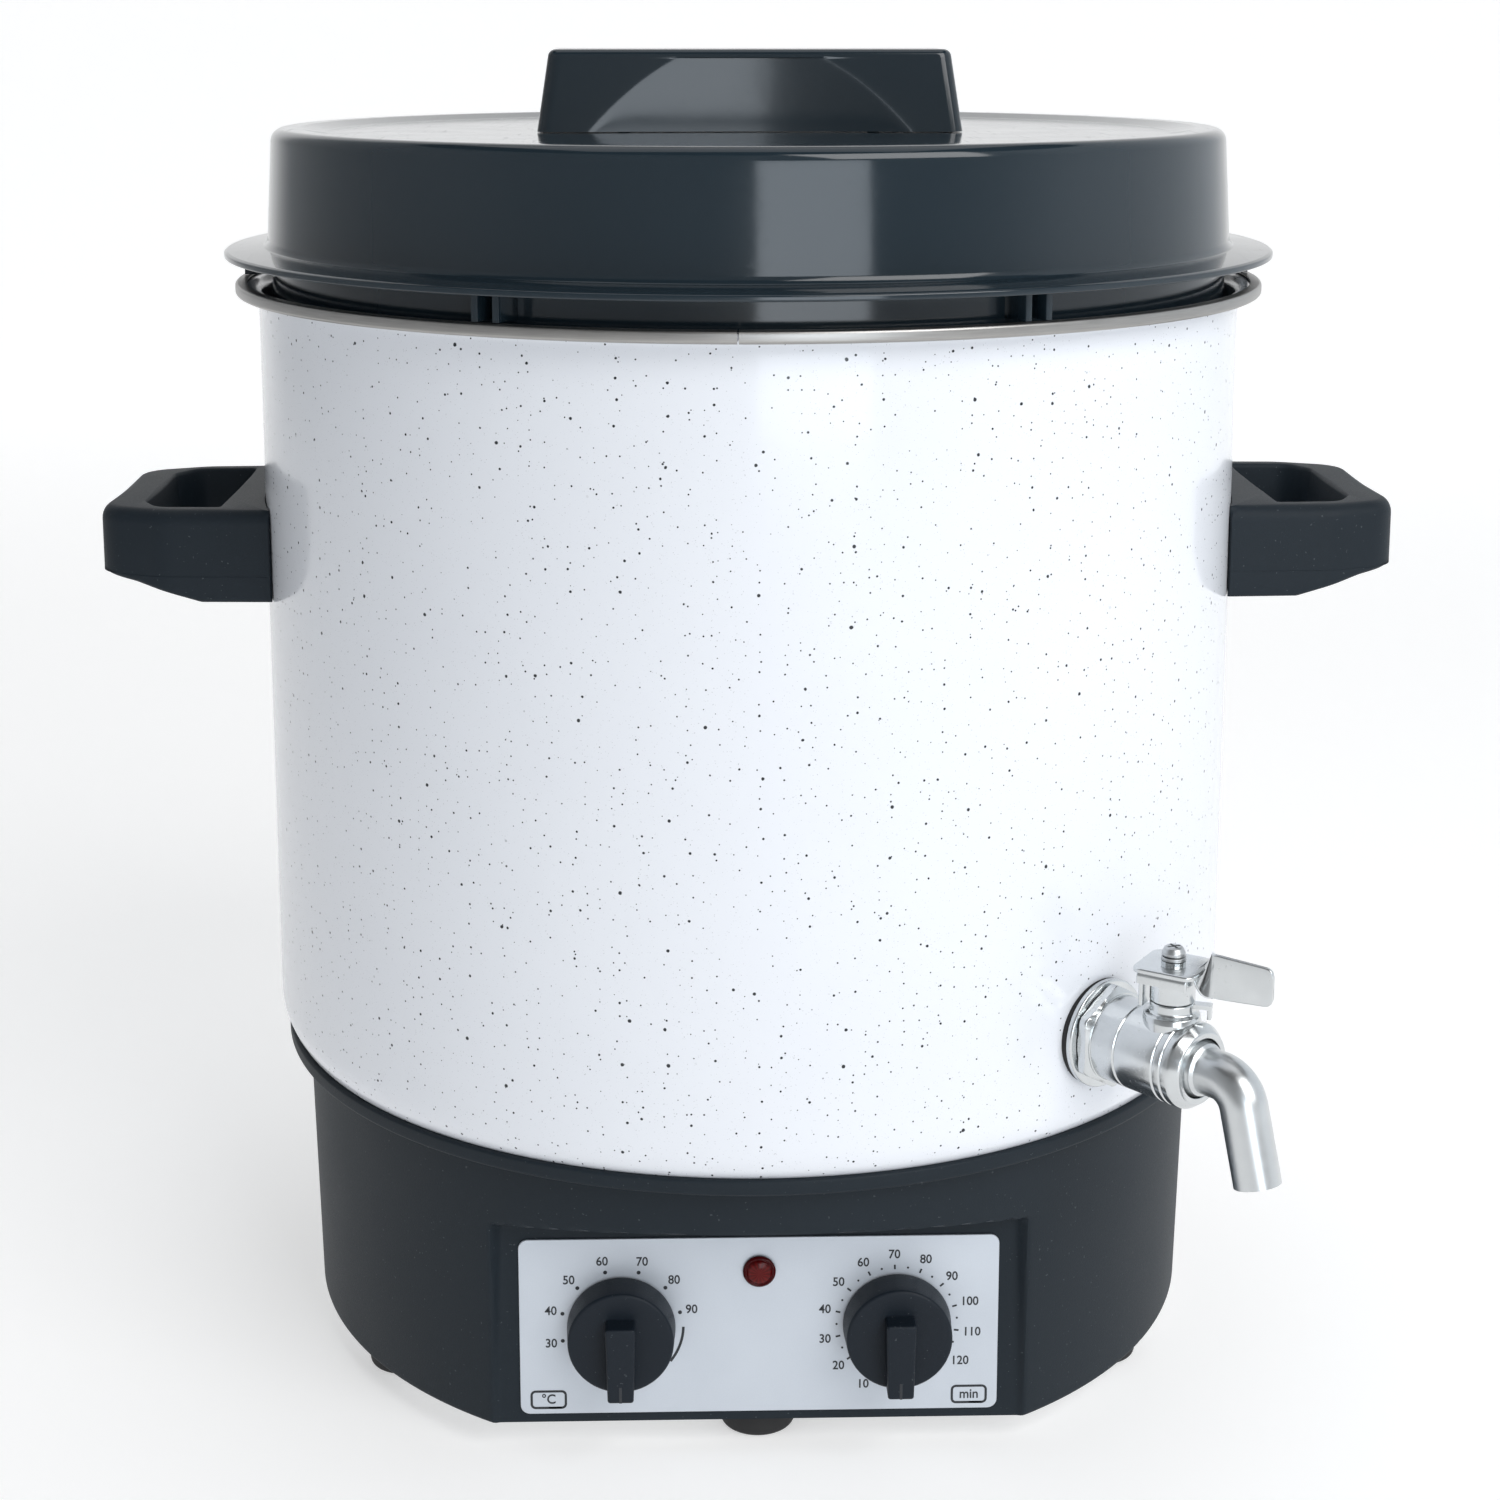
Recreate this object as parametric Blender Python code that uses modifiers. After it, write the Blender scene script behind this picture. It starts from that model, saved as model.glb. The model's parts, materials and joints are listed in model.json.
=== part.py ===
"""Electric preserving cooker: enamelled pot with lid, loop handles, heated base and drain tap.

Metres, +Z up. The pot's axis is the Z axis, the feet stand on Z = 0 and the controls face -Y.
"""

import math

import bmesh
import bpy
from mathutils import Matrix, Vector

# Clearances that every piece shares
SEAT_GAP = 0.0003
CUT_OVERRUN = 0.002
WELD_OVERLAP = 0.0006

# Facets on the large turned pieces and on the small ones
LARGE_STEPS = 48
MEDIUM_STEPS = 28
SMALL_STEPS = 16
SCREW_STEPS = 10
ARC_POINTS = 4

# Feet
FOOT_HEIGHT = 0.0095
FOOT_RADIUS = 0.0135
FOOT_CHAMFER = 0.0012
FOOT_STEM_RADIUS = 0.0042
FOOT_STEM_LENGTH = 0.0045
FOOT_INSET = 0.0300
FRONT_FOOT_SETBACK = 0.0280
FOOT_COUNT = 6

# Base housing
BASE_HEIGHT = 0.1037
BASE_TOP_INSET = 0.0095
BASE_BOTTOM_INSET = 0.0120
BASE_WALL = 0.0030
BASE_BOTTOM_FILLET = 0.0015
LIP_INSET = 0.0024
LIP_HEIGHT = 0.0060
LIP_UNDERCUT = 0.0030
SHELF_INSET = 0.0300
SHELF_THICKNESS = 0.0030
COVER_LEDGE_WIDTH = 0.0040
COVER_LEDGE_HEIGHT = 0.0030

# Recess for the controls
PANEL_SETBACK = 0.0285
RECESS_HEIGHT = 0.0724
RECESS_HALF_WIDTH = 0.0860
RECESS_BOTTOM_FLARE = 0.0022
RECESS_SIDE_DRAFT_DEG = 45.0
RECESS_CEILING_SLOPE_DEG = 16.5

# Bottom cover
COVER_THICKNESS = 0.0012
COVER_BEAD_HEIGHT = 0.0015
COVER_BEAD_INSET = 0.0750
COVER_BEAD_WIDTH = 0.0160
COVER_SCREW_RADIUS = 0.0020
COVER_SCREW_HEAD_RADIUS = 0.0038
COVER_SCREW_HEAD_HEIGHT = 0.0022
COVER_SCREW_LENGTH = 0.0120
COVER_SCREW_ANGLES_DEG = (90.0, 150.0, 210.0, 270.0)
COVER_BOSS_INSET = 0.0450
COVER_BOSS_WALL = 0.0030
VENT_LENGTH = 0.0300
VENT_WIDTH = 0.0040
VENT_PITCH = 0.0090
VENTS_A_SIDE = 2

# Pot
POT_RADIUS = 0.1750
POT_WALL = 0.0015
POT_HEIGHT = 0.2785
POT_CORNER_RADIUS = 0.0200
POT_SINK = 0.0073
RIM_THICKNESS = 0.0021
RIM_FLARE_FILLET = 0.0030
STUD_RADIUS = 0.0030
NUT_ACROSS_FLATS = 0.0100
NUT_HEIGHT = 0.0050
WASHER_RADIUS = 0.0110
WASHER_THICKNESS = 0.0015

# Stainless band round the rim
RING_OVERHANG = 0.0080
RING_SHEET = 0.0007
RING_LIP = 0.0040
RING_JOINT_OFFSET = 0.0080
RING_JOINT_GAP = 0.0004

# Seal between the pot and the base
POT_SEAL_WIDTH = 0.0060
POT_SEAL_THICKNESS = 0.0020
POT_SEAT_CLEARANCE = 0.0005

# Loop handles on the pot
HANDLE_TOP_HEIGHT = 0.2015
HANDLE_ROOT_HEIGHT = 0.0325
HANDLE_END_HEIGHT = 0.0240
HANDLE_LENGTH = 0.0550
HANDLE_ROOT_HALF_WIDTH = 0.0508
HANDLE_END_HALF_WIDTH = 0.0370
HANDLE_SHOULDER_LENGTH = 0.0310
HANDLE_FLAT_LENGTH = 0.0180
HANDLE_EDGE_RADIUS = 0.0030
HANDLE_CORNER_RADIUS = 0.0120
GRIP_THICKNESS = 0.0150
GRIP_ROOT_LENGTH = 0.0120
GRIP_HOLE_HALF_WIDTH = 0.0400
GRIP_HOLE_END_HALF_WIDTH = 0.0300
GRIP_HOLE_DRAFT = 0.0040
BRACKET_HALF_WIDTH = 0.0700
BRACKET_BULGE = 0.0014
BRACKET_CORNER_RADIUS = 0.0140
TONGUE_HALF_WIDTH = 0.0478
TONGUE_HEIGHT = 0.0180
TONGUE_REACH = 0.0060
HANDLE_SCREW_RADIUS = 0.0020
HANDLE_SCREW_HEAD_RADIUS = 0.0036
HANDLE_SCREW_HEAD_HEIGHT = 0.0022
HANDLE_SCREW_LENGTH = 0.0150
HANDLE_SCREW_SPACING = 0.0880
HANDLE_SCREW_INSET = 0.0030
HANDLE_SCREW_LENGTH_OUT = 0.0018

# Lid
LID_STANDOFF = 0.0088
LID_RISE = 0.0443
LID_TOP_INSET = 0.0112
LID_SHOULDER_INSET = 0.0054
LID_FOOT_INSET = 0.0034
LID_CORNER_RADIUS = 0.0055
LID_DISH_INSET = 0.0270
LID_DISH_DEPTH = 0.0017
LID_WALL = 0.0025
FLANGE_OVERHANG = 0.0035
FLANGE_THICKNESS = 0.0025
FLANGE_SLOPE_DROP = 0.0012
SKIRT_INSET = 0.0050
SKIRT_WALL = 0.0023
SKIRT_DEPTH = 0.0160
RIB_PAIRS = 6
RIB_THICKNESS = 0.0024
RIB_SPACING = 0.0075
RIB_INSET = 0.0018
RIB_TURN_DEG = 27.0

# Lid handle
KNOB_BLOCK_LENGTH = 0.1500
KNOB_BLOCK_TOP_LENGTH = 0.1400
KNOB_BLOCK_DEPTH = 0.0560
KNOB_BLOCK_TOP_DEPTH = 0.0500
KNOB_BLOCK_HEIGHT = 0.0284
KNOB_BLOCK_EDGE_RADIUS = 0.0024
SCOOP_RADIUS = 0.1000
SCOOP_DEPTH = 0.0160
SCOOP_TOP_DEPTH = 0.0033
SCOOP_TOP_MARGIN = 0.0014
LID_SCREW_SPACING = 0.0900
LID_SCREW_RADIUS = 0.0022
LID_SCREW_HEAD_RADIUS = 0.0042
LID_SCREW_HEAD_HEIGHT = 0.0026
LID_SCREW_LENGTH = 0.0150

# Rack in the pot
RACK_INSET = 0.0130
RACK_HEIGHT = 0.0200
RACK_SHEET = 0.0012
RACK_RIM_DROP = 0.0080
RACK_HOLE_RADIUS = 0.0090
RACK_RING_SHARES = (0.278, 0.525, 0.772)
RACK_RING_COUNTS = (5, 8, 12)
RACK_CENTRE_HOLE_RADIUS = 0.0160

# Control plate, lamp and the two controls behind it
PLATE_WIDTH = 0.1610
PLATE_HEIGHT = 0.0630
PLATE_THICKNESS = 0.0006
PLATE_CORNER_RADIUS = 0.0030
PLATE_BOTTOM_MARGIN = 0.0034
CONTROL_SPACING = 0.0926
LAMP_RISE = 0.0196
LAMP_BEZEL_RADIUS = 0.0055
LAMP_LENS_RADIUS = 0.0047
LAMP_BODY_RADIUS = 0.0042
LAMP_PROUD = 0.0022
LAMP_HOLDER_RADIUS = 0.0068
LAMP_HOLDER_LENGTH = 0.0140
KNOB_RADIUS = 0.0182
KNOB_FRONT_RADIUS = 0.0176
KNOB_THICKNESS = 0.0115
KNOB_WALL = 0.0020
KNOB_EDGE_RADIUS = 0.0009
KNOB_STANDOFF = 0.0006
KNOB_HUB_RADIUS = 0.0065
BAR_WIDTH = 0.0100
BAR_TIP_WIDTH = 0.0086
BAR_PROUD = 0.0072
BAR_HEAD = 0.0087
BAR_TIP = 0.0174
BAR_EDGE_RADIUS = 0.0007
INDEX_WIDTH = 0.0009
INDEX_LENGTH = 0.0056
INDEX_DEPTH = 0.0005
SHAFT_RADIUS = 0.0030
SHAFT_BUSH_RADIUS = 0.0048
SHAFT_BUSH_LENGTH = 0.0060
SHAFT_FLAT_SHARE = 0.60
SHAFT_IN_KNOB = 0.0075
THERMOSTAT_WIDTH = 0.0460
THERMOSTAT_DEPTH = 0.0280
THERMOSTAT_HEIGHT = 0.0340
TIMER_RADIUS = 0.0225
TIMER_DEPTH = 0.0340
BRACKET_SHEET = 0.0015
BRACKET_WIDTH = 0.1500
BRACKET_HEIGHT = 0.0560
BRACKET_RETURN = 0.0120

# Heating, under the pot
ELEMENT_RADIUS = 0.0042
ELEMENT_TURN_RADIUS = 0.0900
ELEMENT_GAP_DEG = 26.0
ELEMENT_LEG = 0.0260
HEAT_PLATE_INSET = 0.0600
HEAT_PLATE_THICKNESS = 0.0025
HEAT_PLATE_HOLE_RADIUS = 0.0550
CLAMP_WIDTH = 0.0240
CLAMP_SHEET = 0.0020
BULB_RADIUS = 0.0030
BULB_LENGTH = 0.0600
CAPILLARY_RADIUS = 0.0010
CUTOUT_RADIUS = 0.0125
CUTOUT_HEIGHT = 0.0100
TERMINAL_LENGTH = 0.0420
TERMINAL_DEPTH = 0.0200
TERMINAL_HEIGHT = 0.0180

# Cable gland at the back
GLAND_RADIUS = 0.0080
GLAND_FLANGE_RADIUS = 0.0110
GLAND_FLANGE_THICKNESS = 0.0025
GLAND_BORE_RADIUS = 0.0036
GLAND_LENGTH = 0.0120
GLAND_HEIGHT = 0.0300

# Tap
TAP_TURN_DEG = 40.0
TAP_RISE = 0.0413
TAP_HOLE_RADIUS = 0.0108
TAP_SEAL_RADIUS = 0.0178
TAP_SEAL_THICKNESS = 0.0020
TAP_FLANGE_RADIUS = 0.0182
TAP_FLANGE_THICKNESS = 0.0022
TAP_TAIL_RADIUS = 0.0103
TAP_TAIL_LENGTH = 0.0140
TAP_BORE_RADIUS = 0.0050
TAP_HEX_ACROSS_FLATS = 0.0310
TAP_HEX_LENGTH = 0.0042
TAP_BODY_RADIUS = 0.0142
TAP_COLLAR_RADIUS = 0.0135
TAP_BODY_LENGTH = 0.0379
TAP_GROOVE_DEPTH = 0.0006
TAP_GROOVE_WIDTH = 0.0008
TAP_CAVITY_RADIUS = 0.0098
BALL_RADIUS = 0.0086
BALL_PLACE = 0.0300
BALL_ROOM_HALF = 0.0092
SPOUT_RADIUS = 0.0078
SPOUT_WALL = 0.0012
SPOUT_TAIL_RADIUS = 0.0094
SPOUT_TAIL_LENGTH = 0.0036
SPOUT_RUN = 0.0068
SPOUT_BEND_RADIUS = 0.0100
SPOUT_DROP = 0.0315
SPOUT_SLANT_DEG = 15.0
SPOUT_BEND_POINTS = 7
NECK_RADIUS = 0.0072
NECK_HEIGHT = 0.0194
PACKING_NUT_RADIUS = 0.0082
PACKING_NUT_HEIGHT = 0.0100
PACKING_NUT_CROWN = 0.0030
STEM_RADIUS = 0.0040
STEM_TOP = 0.0032
STEM_TONGUE = 0.0020
STEM_TONGUE_DEPTH = 0.0020
LEVER_SHEET = 0.0018
LEVER_HALF_WIDTH = 0.0105
LEVER_SKIRT = 0.0050
LEVER_STOP_DROP = 0.0150
LEVER_STOP_WIDTH = 0.0070
LEVER_TURN_DEG = 17.0
LEVER_BLADE_START = 0.0130
LEVER_REACH = 0.0335
LEVER_ROOT_LOW = -0.0073
LEVER_ROOT_HIGH = 0.0074
LEVER_END_LOW = -0.0065
LEVER_END_HIGH = 0.0062
LEVER_END_ROUND = 0.0020
SPRING_WASHER_RADIUS = 0.0038
SPRING_WASHER_THICKNESS = 0.0012
LEVER_SCREW_RADIUS = 0.0018
LEVER_SCREW_HEAD_RADIUS = 0.0036
LEVER_SCREW_HEAD_HEIGHT = 0.0028
LEVER_SCREW_LENGTH = 0.0060
INNER_NUT_ACROSS_FLATS = 0.0280
INNER_NUT_LENGTH = 0.0060
INNER_SEAL_THICKNESS = 0.0020

# Radii and reaches that follow from the pot's radius
BASE_TOP_RADIUS = POT_RADIUS - BASE_TOP_INSET
BASE_BOTTOM_RADIUS = POT_RADIUS - BASE_BOTTOM_INSET
LIP_RADIUS = POT_RADIUS - LIP_INSET
SHELF_INNER_RADIUS = POT_RADIUS - SHELF_INSET
FOOT_PITCH_RADIUS = POT_RADIUS - FOOT_INSET
COVER_BEAD_RADIUS = POT_RADIUS - COVER_BEAD_INSET
COVER_BOSS_PITCH_RADIUS = POT_RADIUS - COVER_BOSS_INSET
RING_RADIUS = POT_RADIUS + RING_OVERHANG
HANDLE_REACH = POT_RADIUS + HANDLE_LENGTH
HANDLE_SHOULDER = POT_RADIUS + HANDLE_SHOULDER_LENGTH
HANDLE_BOTTOM_FLAT = POT_RADIUS + HANDLE_FLAT_LENGTH
GRIP_HOLE_START = POT_RADIUS + GRIP_ROOT_LENGTH
HANDLE_SCREW_PLACE = POT_RADIUS + HANDLE_SCREW_LENGTH_OUT
LID_TOP_RADIUS = POT_RADIUS - LID_TOP_INSET
LID_SHOULDER_RADIUS = POT_RADIUS - LID_SHOULDER_INSET
LID_FOOT_RADIUS = POT_RADIUS - LID_FOOT_INSET
LID_DISH_RADIUS = POT_RADIUS - LID_DISH_INSET
SKIRT_RADIUS = POT_RADIUS - SKIRT_INSET
FLANGE_RADIUS = RING_RADIUS + FLANGE_OVERHANG
RIB_REACH = RING_RADIUS - RIB_INSET
RACK_RADIUS = POT_RADIUS - RACK_INSET
HEAT_PLATE_RADIUS = POT_RADIUS - HEAT_PLATE_INSET

# Heights above the table that follow from the sizes
BASE_BOTTOM = FOOT_HEIGHT + SEAT_GAP
BASE_TOP = BASE_BOTTOM + BASE_HEIGHT
POT_BOTTOM = BASE_TOP - POT_SINK
POT_TOP = POT_BOTTOM + POT_HEIGHT
RING_TOP = POT_TOP + SEAT_GAP + RING_SHEET
FLANGE_UNDERSIDE = RING_TOP + LID_STANDOFF
LID_TOP = FLANGE_UNDERSIDE + LID_RISE
LID_SEAT = LID_TOP - LID_DISH_DEPTH
HANDLE_TOP = POT_BOTTOM + HANDLE_TOP_HEIGHT
PANEL_Y = PANEL_SETBACK - BASE_BOTTOM_RADIUS
PLATE_CENTRE = BASE_BOTTOM + PLATE_BOTTOM_MARGIN + PLATE_HEIGHT / 2
PLATE_FRONT = PANEL_Y - SEAT_GAP - PLATE_THICKNESS
TAP_HEIGHT = POT_BOTTOM + TAP_RISE


def fresh_collection(name):
    collection = bpy.data.collections.new(name)
    bpy.context.scene.collection.children.link(collection)
    return collection


def clear_scene():
    for thing in list(bpy.data.objects):
        bpy.data.objects.remove(thing)


clear_scene()
PARTS = fresh_collection("preserving_cooker")
CUTTERS = fresh_collection("cutters")
CUTTERS.hide_render = True


def material(name, colour, roughness, metallic=0.0):
    made = bpy.data.materials.new(name)
    made.use_nodes = True
    shader = made.node_tree.nodes["Principled BSDF"]
    shader.inputs["Base Color"].default_value = (*colour, 1)
    shader.inputs["Roughness"].default_value = roughness
    shader.inputs["Metallic"].default_value = metallic
    return made


ENAMEL = ("white_enamel", (0.86, 0.87, 0.88), 0.22, 0.0)
GLOSS_PLASTIC = ("glossy_lid_plastic", (0.020, 0.027, 0.034), 0.12, 0.0)
HOUSING_PLASTIC = ("charcoal_plastic", (0.024, 0.028, 0.031), 0.55, 0.0)
KNOB_PLASTIC = ("knob_plastic", (0.018, 0.021, 0.024), 0.45, 0.0)
RUBBER = ("black_rubber", (0.012, 0.012, 0.013), 0.75, 0.0)
STEEL = ("polished_steel", (0.66, 0.67, 0.67), 0.16, 1.0)
PLATED = ("zinc_plated_steel", (0.55, 0.56, 0.57), 0.35, 1.0)
FASCIA = ("silver_fascia", (0.62, 0.65, 0.69), 0.38, 0.6)
LENS = ("red_lens", (0.32, 0.012, 0.010), 0.10, 0.0)
PTFE = ("white_ptfe", (0.80, 0.80, 0.78), 0.45, 0.0)
CERAMIC = ("white_ceramic", (0.74, 0.73, 0.70), 0.50, 0.0)


def paint(thing, finish):
    found = bpy.data.materials.get(finish[0]) or material(*finish)
    thing.data.materials.clear()
    thing.data.materials.append(found)


def add_mesh(name, shape, finish=None, parent=None):
    """An object for a bmesh. With no finish it is a cutter or a piece of another node."""
    mesh = bpy.data.meshes.new(name)
    shape.to_mesh(mesh)
    shape.free()
    thing = bpy.data.objects.new(name, mesh)
    (PARTS if finish else CUTTERS).objects.link(thing)
    if finish:
        paint(thing, finish)
    else:
        thing.hide_render = True
        thing.display_type = "WIRE"
    thing.parent = parent
    return thing


def smooth(thing, angle_deg=32.0):
    thing.data.shade_smooth()
    thing.data.set_sharp_from_angle(angle=math.radians(angle_deg))
    return thing


def boolean(thing, other, operation):
    change = thing.modifiers.new(operation.lower(), "BOOLEAN")
    change.operation = operation
    change.solver = "EXACT"
    change.object = other
    return thing


def cut(thing, *cutters):
    for cutter in cutters:
        boolean(thing, cutter, "DIFFERENCE")
    return thing


def join(thing, *others):
    for other in others:
        boolean(thing, other, "UNION")
    return thing


def bevel(thing, width, segments=2, angle_deg=40.0):
    change = thing.modifiers.new("bevel", "BEVEL")
    change.width = width
    change.segments = segments
    change.limit_method = "ANGLE"
    change.angle_limit = math.radians(angle_deg)
    return thing


def turned(name, profile, steps, finish=None, parent=None):
    """A profile of (radius, height) points, top to bottom on its outer side, turned about Z."""
    shape = bmesh.new()
    points = [shape.verts.new((radius, 0, height)) for radius, height in profile]
    closed = profile[0][0] > 0 or profile[-1][0] > 0
    pairs = list(zip(points, points[1:]))
    if closed:
        pairs.append((points[-1], points[0]))
    for first, second in pairs:
        shape.edges.new((first, second))
    thing = add_mesh(name, shape, finish, parent)
    screw = thing.modifiers.new("turn", "SCREW")
    screw.steps = steps
    screw.render_steps = steps
    screw.use_merge_vertices = True
    screw.merge_threshold = WELD_OVERLAP / 10
    screw.use_smooth_shade = True
    return thing


def arc(centre, radius, start_deg, end_deg, count=ARC_POINTS):
    """Points of an arc in the profile's plane, ends included."""
    steps = [start_deg + (end_deg - start_deg) * k / (count - 1) for k in range(count)]
    return [
        (centre[0] + radius * math.cos(math.radians(a)), centre[1] + radius * math.sin(math.radians(a)))
        for a in steps
    ]


def rod(name, radius, start, end, steps=SMALL_STEPS, finish=None, parent=None, end_radius=None, turn=0.0):
    """A cylinder or cone from one point to another."""
    start, end = Vector(start), Vector(end)
    along = end - start
    place = Matrix.Translation((start + end) / 2) @ along.to_track_quat("Z", "Y").to_matrix().to_4x4()
    shape = bmesh.new()
    bmesh.ops.create_cone(
        shape,
        cap_ends=True,
        segments=steps,
        radius1=radius,
        radius2=radius if end_radius is None else end_radius,
        depth=along.length,
        matrix=place @ Matrix.Rotation(turn, 4, "Z"),
    )
    return add_mesh(name, shape, finish, parent)


def block(name, low, high, finish=None, parent=None):
    """A box between two corners."""
    low, high = Vector(low), Vector(high)
    shape = bmesh.new()
    place = Matrix.Translation((low + high) / 2) @ Matrix.Diagonal((*(high - low), 1))
    bmesh.ops.create_cube(shape, size=1, matrix=place)
    return add_mesh(name, shape, finish, parent)


def tapered_block(name, bottom, top, finish=None, parent=None):
    """A box whose top face differs from its bottom face. Each is (low x, low y, high x, high y, z)."""
    shape = bmesh.new()
    bmesh.ops.create_cube(shape, size=1)
    for vert in shape.verts:
        face = top if vert.co.z > 0 else bottom
        vert.co = (
            face[2] if vert.co.x > 0 else face[0],
            face[3] if vert.co.y > 0 else face[1],
            face[4],
        )
    return add_mesh(name, shape, finish, parent)


def as_mesh(curve_object, finish=None, parent=None):
    """The curve's evaluated shape as a mesh object, its loose caps welded, in place of the curve."""
    bpy.context.view_layer.update()
    graph = bpy.context.evaluated_depsgraph_get()
    mesh = bpy.data.meshes.new_from_object(curve_object.evaluated_get(graph))
    shape = bmesh.new()
    shape.from_mesh(mesh)
    bmesh.ops.remove_doubles(shape, verts=shape.verts, dist=WELD_OVERLAP / 100)
    bmesh.ops.recalc_face_normals(shape, faces=shape.faces)
    name = curve_object.name
    matrix = curve_object.matrix_world.copy()
    bpy.data.objects.remove(curve_object)
    thing = add_mesh(name, shape, finish, parent)
    thing.matrix_world = matrix
    return thing


def curve_object(name, splines, dimensions, cyclic):
    data = bpy.data.curves.new(name, "CURVE")
    data.dimensions = dimensions
    for points in splines:
        spline = data.splines.new("POLY")
        spline.points.add(len(points) - 1)
        for point, place in zip(spline.points, points):
            point.co = (*place, 1) if len(place) == 3 else (*place, 0, 1)
        spline.use_cyclic_u = cyclic
    made = bpy.data.objects.new(name, data)
    PARTS.objects.link(made)
    return made


def outline(name, splines, low, high, turn=None, finish=None, parent=None):
    """A flat outline in XY given thickness from low to high, then placed by a matrix."""
    made = curve_object(name, splines, "2D", True)
    made.data.fill_mode = "BOTH"
    made.data.extrude = (high - low) / 2
    made.matrix_world = (turn or Matrix.Identity(4)) @ Matrix.Translation((0, 0, (low + high) / 2))
    thing = as_mesh(made, finish)
    thing.data.transform(thing.matrix_world)
    thing.matrix_world = Matrix.Identity(4)
    thing.parent = parent
    return thing


def tube(name, points, radius, finish=None, parent=None, resolution=4, cyclic=False):
    """A round wire along points, with filled ends."""
    made = curve_object(name, [points], "3D", cyclic)
    made.data.bevel_depth = radius
    made.data.bevel_resolution = resolution
    made.data.use_fill_caps = not cyclic
    thing = as_mesh(made, finish)
    thing.parent = parent
    return thing


def rounded_rectangle(half_width, half_height, radius, count=ARC_POINTS):
    """Corner arcs of a rectangle round the origin, anticlockwise."""
    points = []
    corners = ((1, 1, 0), (-1, 1, 90), (-1, -1, 180), (1, -1, 270))
    for side_x, side_y, start in corners:
        centre = (side_x * (half_width - radius), side_y * (half_height - radius))
        points += arc(centre, radius, start, start + 90, count)
    return points


def around(count, first_deg=0.0):
    """Angles that share a full turn."""
    return [math.radians(first_deg + 360 * k / count) for k in range(count)]


def polar(radius, angle, height=0.0):
    """A point at an angle anticlockwise from the front, -Y."""
    return Vector((radius * math.sin(angle), -radius * math.cos(angle), height))


def hexagon(name, across_flats, start, end, finish=None, parent=None, turn=0.0):
    return rod(name, across_flats / math.sqrt(3), start, end, 6, finish, parent, turn=turn)


def combined(name, makers):
    """Several separate cutters as one mesh object, so that one Boolean takes them all."""
    shape = bmesh.new()
    for maker in makers:
        shape.from_mesh(maker.data)
        bpy.data.objects.remove(maker)
    return add_mesh(name, shape)


def lid_profile():
    """Dished top, drafted wall and brim outside; the skirt, then the hollow inside."""
    corner = (LID_TOP_RADIUS, LID_TOP - LID_CORNER_RADIUS)
    brim_top = FLANGE_UNDERSIDE + FLANGE_THICKNESS
    brim_root = FLANGE_UNDERSIDE + FLANGE_SLOPE_DROP
    skirt_foot = RING_TOP - SKIRT_DEPTH
    ceiling = LID_SEAT - LID_WALL
    return (
        [(0, LID_SEAT), (LID_DISH_RADIUS, LID_SEAT)]
        + [(LID_TOP_RADIUS - LID_CORNER_RADIUS, LID_TOP)]
        + arc(corner, LID_CORNER_RADIUS, 90, 10)
        + [(LID_FOOT_RADIUS, brim_top + 2 * FLANGE_SLOPE_DROP)]
        + [(LID_FOOT_RADIUS + FLANGE_SLOPE_DROP, brim_top + FLANGE_SLOPE_DROP)]
        + [(FLANGE_RADIUS - FLANGE_SLOPE_DROP, brim_top)]
        + [(FLANGE_RADIUS, brim_top - FLANGE_SLOPE_DROP / 2)]
        + [(FLANGE_RADIUS, FLANGE_UNDERSIDE)]
        + [(SKIRT_RADIUS, brim_root)]
        + [(SKIRT_RADIUS, skirt_foot)]
        + [(SKIRT_RADIUS - SKIRT_WALL, skirt_foot)]
        + [(SKIRT_RADIUS - SKIRT_WALL, brim_root)]
        + [(LID_SHOULDER_RADIUS - LID_WALL, LID_TOP - LID_CORNER_RADIUS)]
        + [(LID_TOP_RADIUS - LID_WALL, ceiling)]
        + [(0, ceiling)]
    )


def stand_off_ribs():
    """Pairs of upright ribs outside the skirt. They hold the lid off the rim, so steam gets out."""
    ribs = []
    inside = SKIRT_RADIUS - SKIRT_WALL / 2
    low = RING_TOP + SEAT_GAP
    high = FLANGE_UNDERSIDE + FLANGE_THICKNESS / 2
    for pair, angle in enumerate(around(RIB_PAIRS, RIB_TURN_DEG)):
        for side in (-1, 1):
            near = side * RIB_SPACING / 2 - RIB_THICKNESS / 2
            rib = block(
                f"rib_{pair}_{side}",
                (near, -RIB_REACH, low),
                (near + RIB_THICKNESS, -inside, high),
            )
            rib.data.transform(Matrix.Rotation(angle, 4, "Z"))
            ribs.append(rib)
    return combined("stand_off_ribs", ribs)


def lid_screw_places():
    return [(side * LID_SCREW_SPACING / 2, word) for side, word in ((-1, "left"), (1, "right"))]


def make_lid():
    lid = turned("lid_shell", lid_profile(), LARGE_STEPS, GLOSS_PLASTIC)
    join(lid, stand_off_ribs())
    for place, word in lid_screw_places():
        hole = rod(
            f"lid_hole_{word}",
            LID_SCREW_RADIUS + SEAT_GAP,
            (place, 0, LID_SEAT - LID_WALL - CUT_OVERRUN),
            (place, 0, LID_SEAT + CUT_OVERRUN),
        )
        cut(lid, hole)
    smooth(lid)


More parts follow.
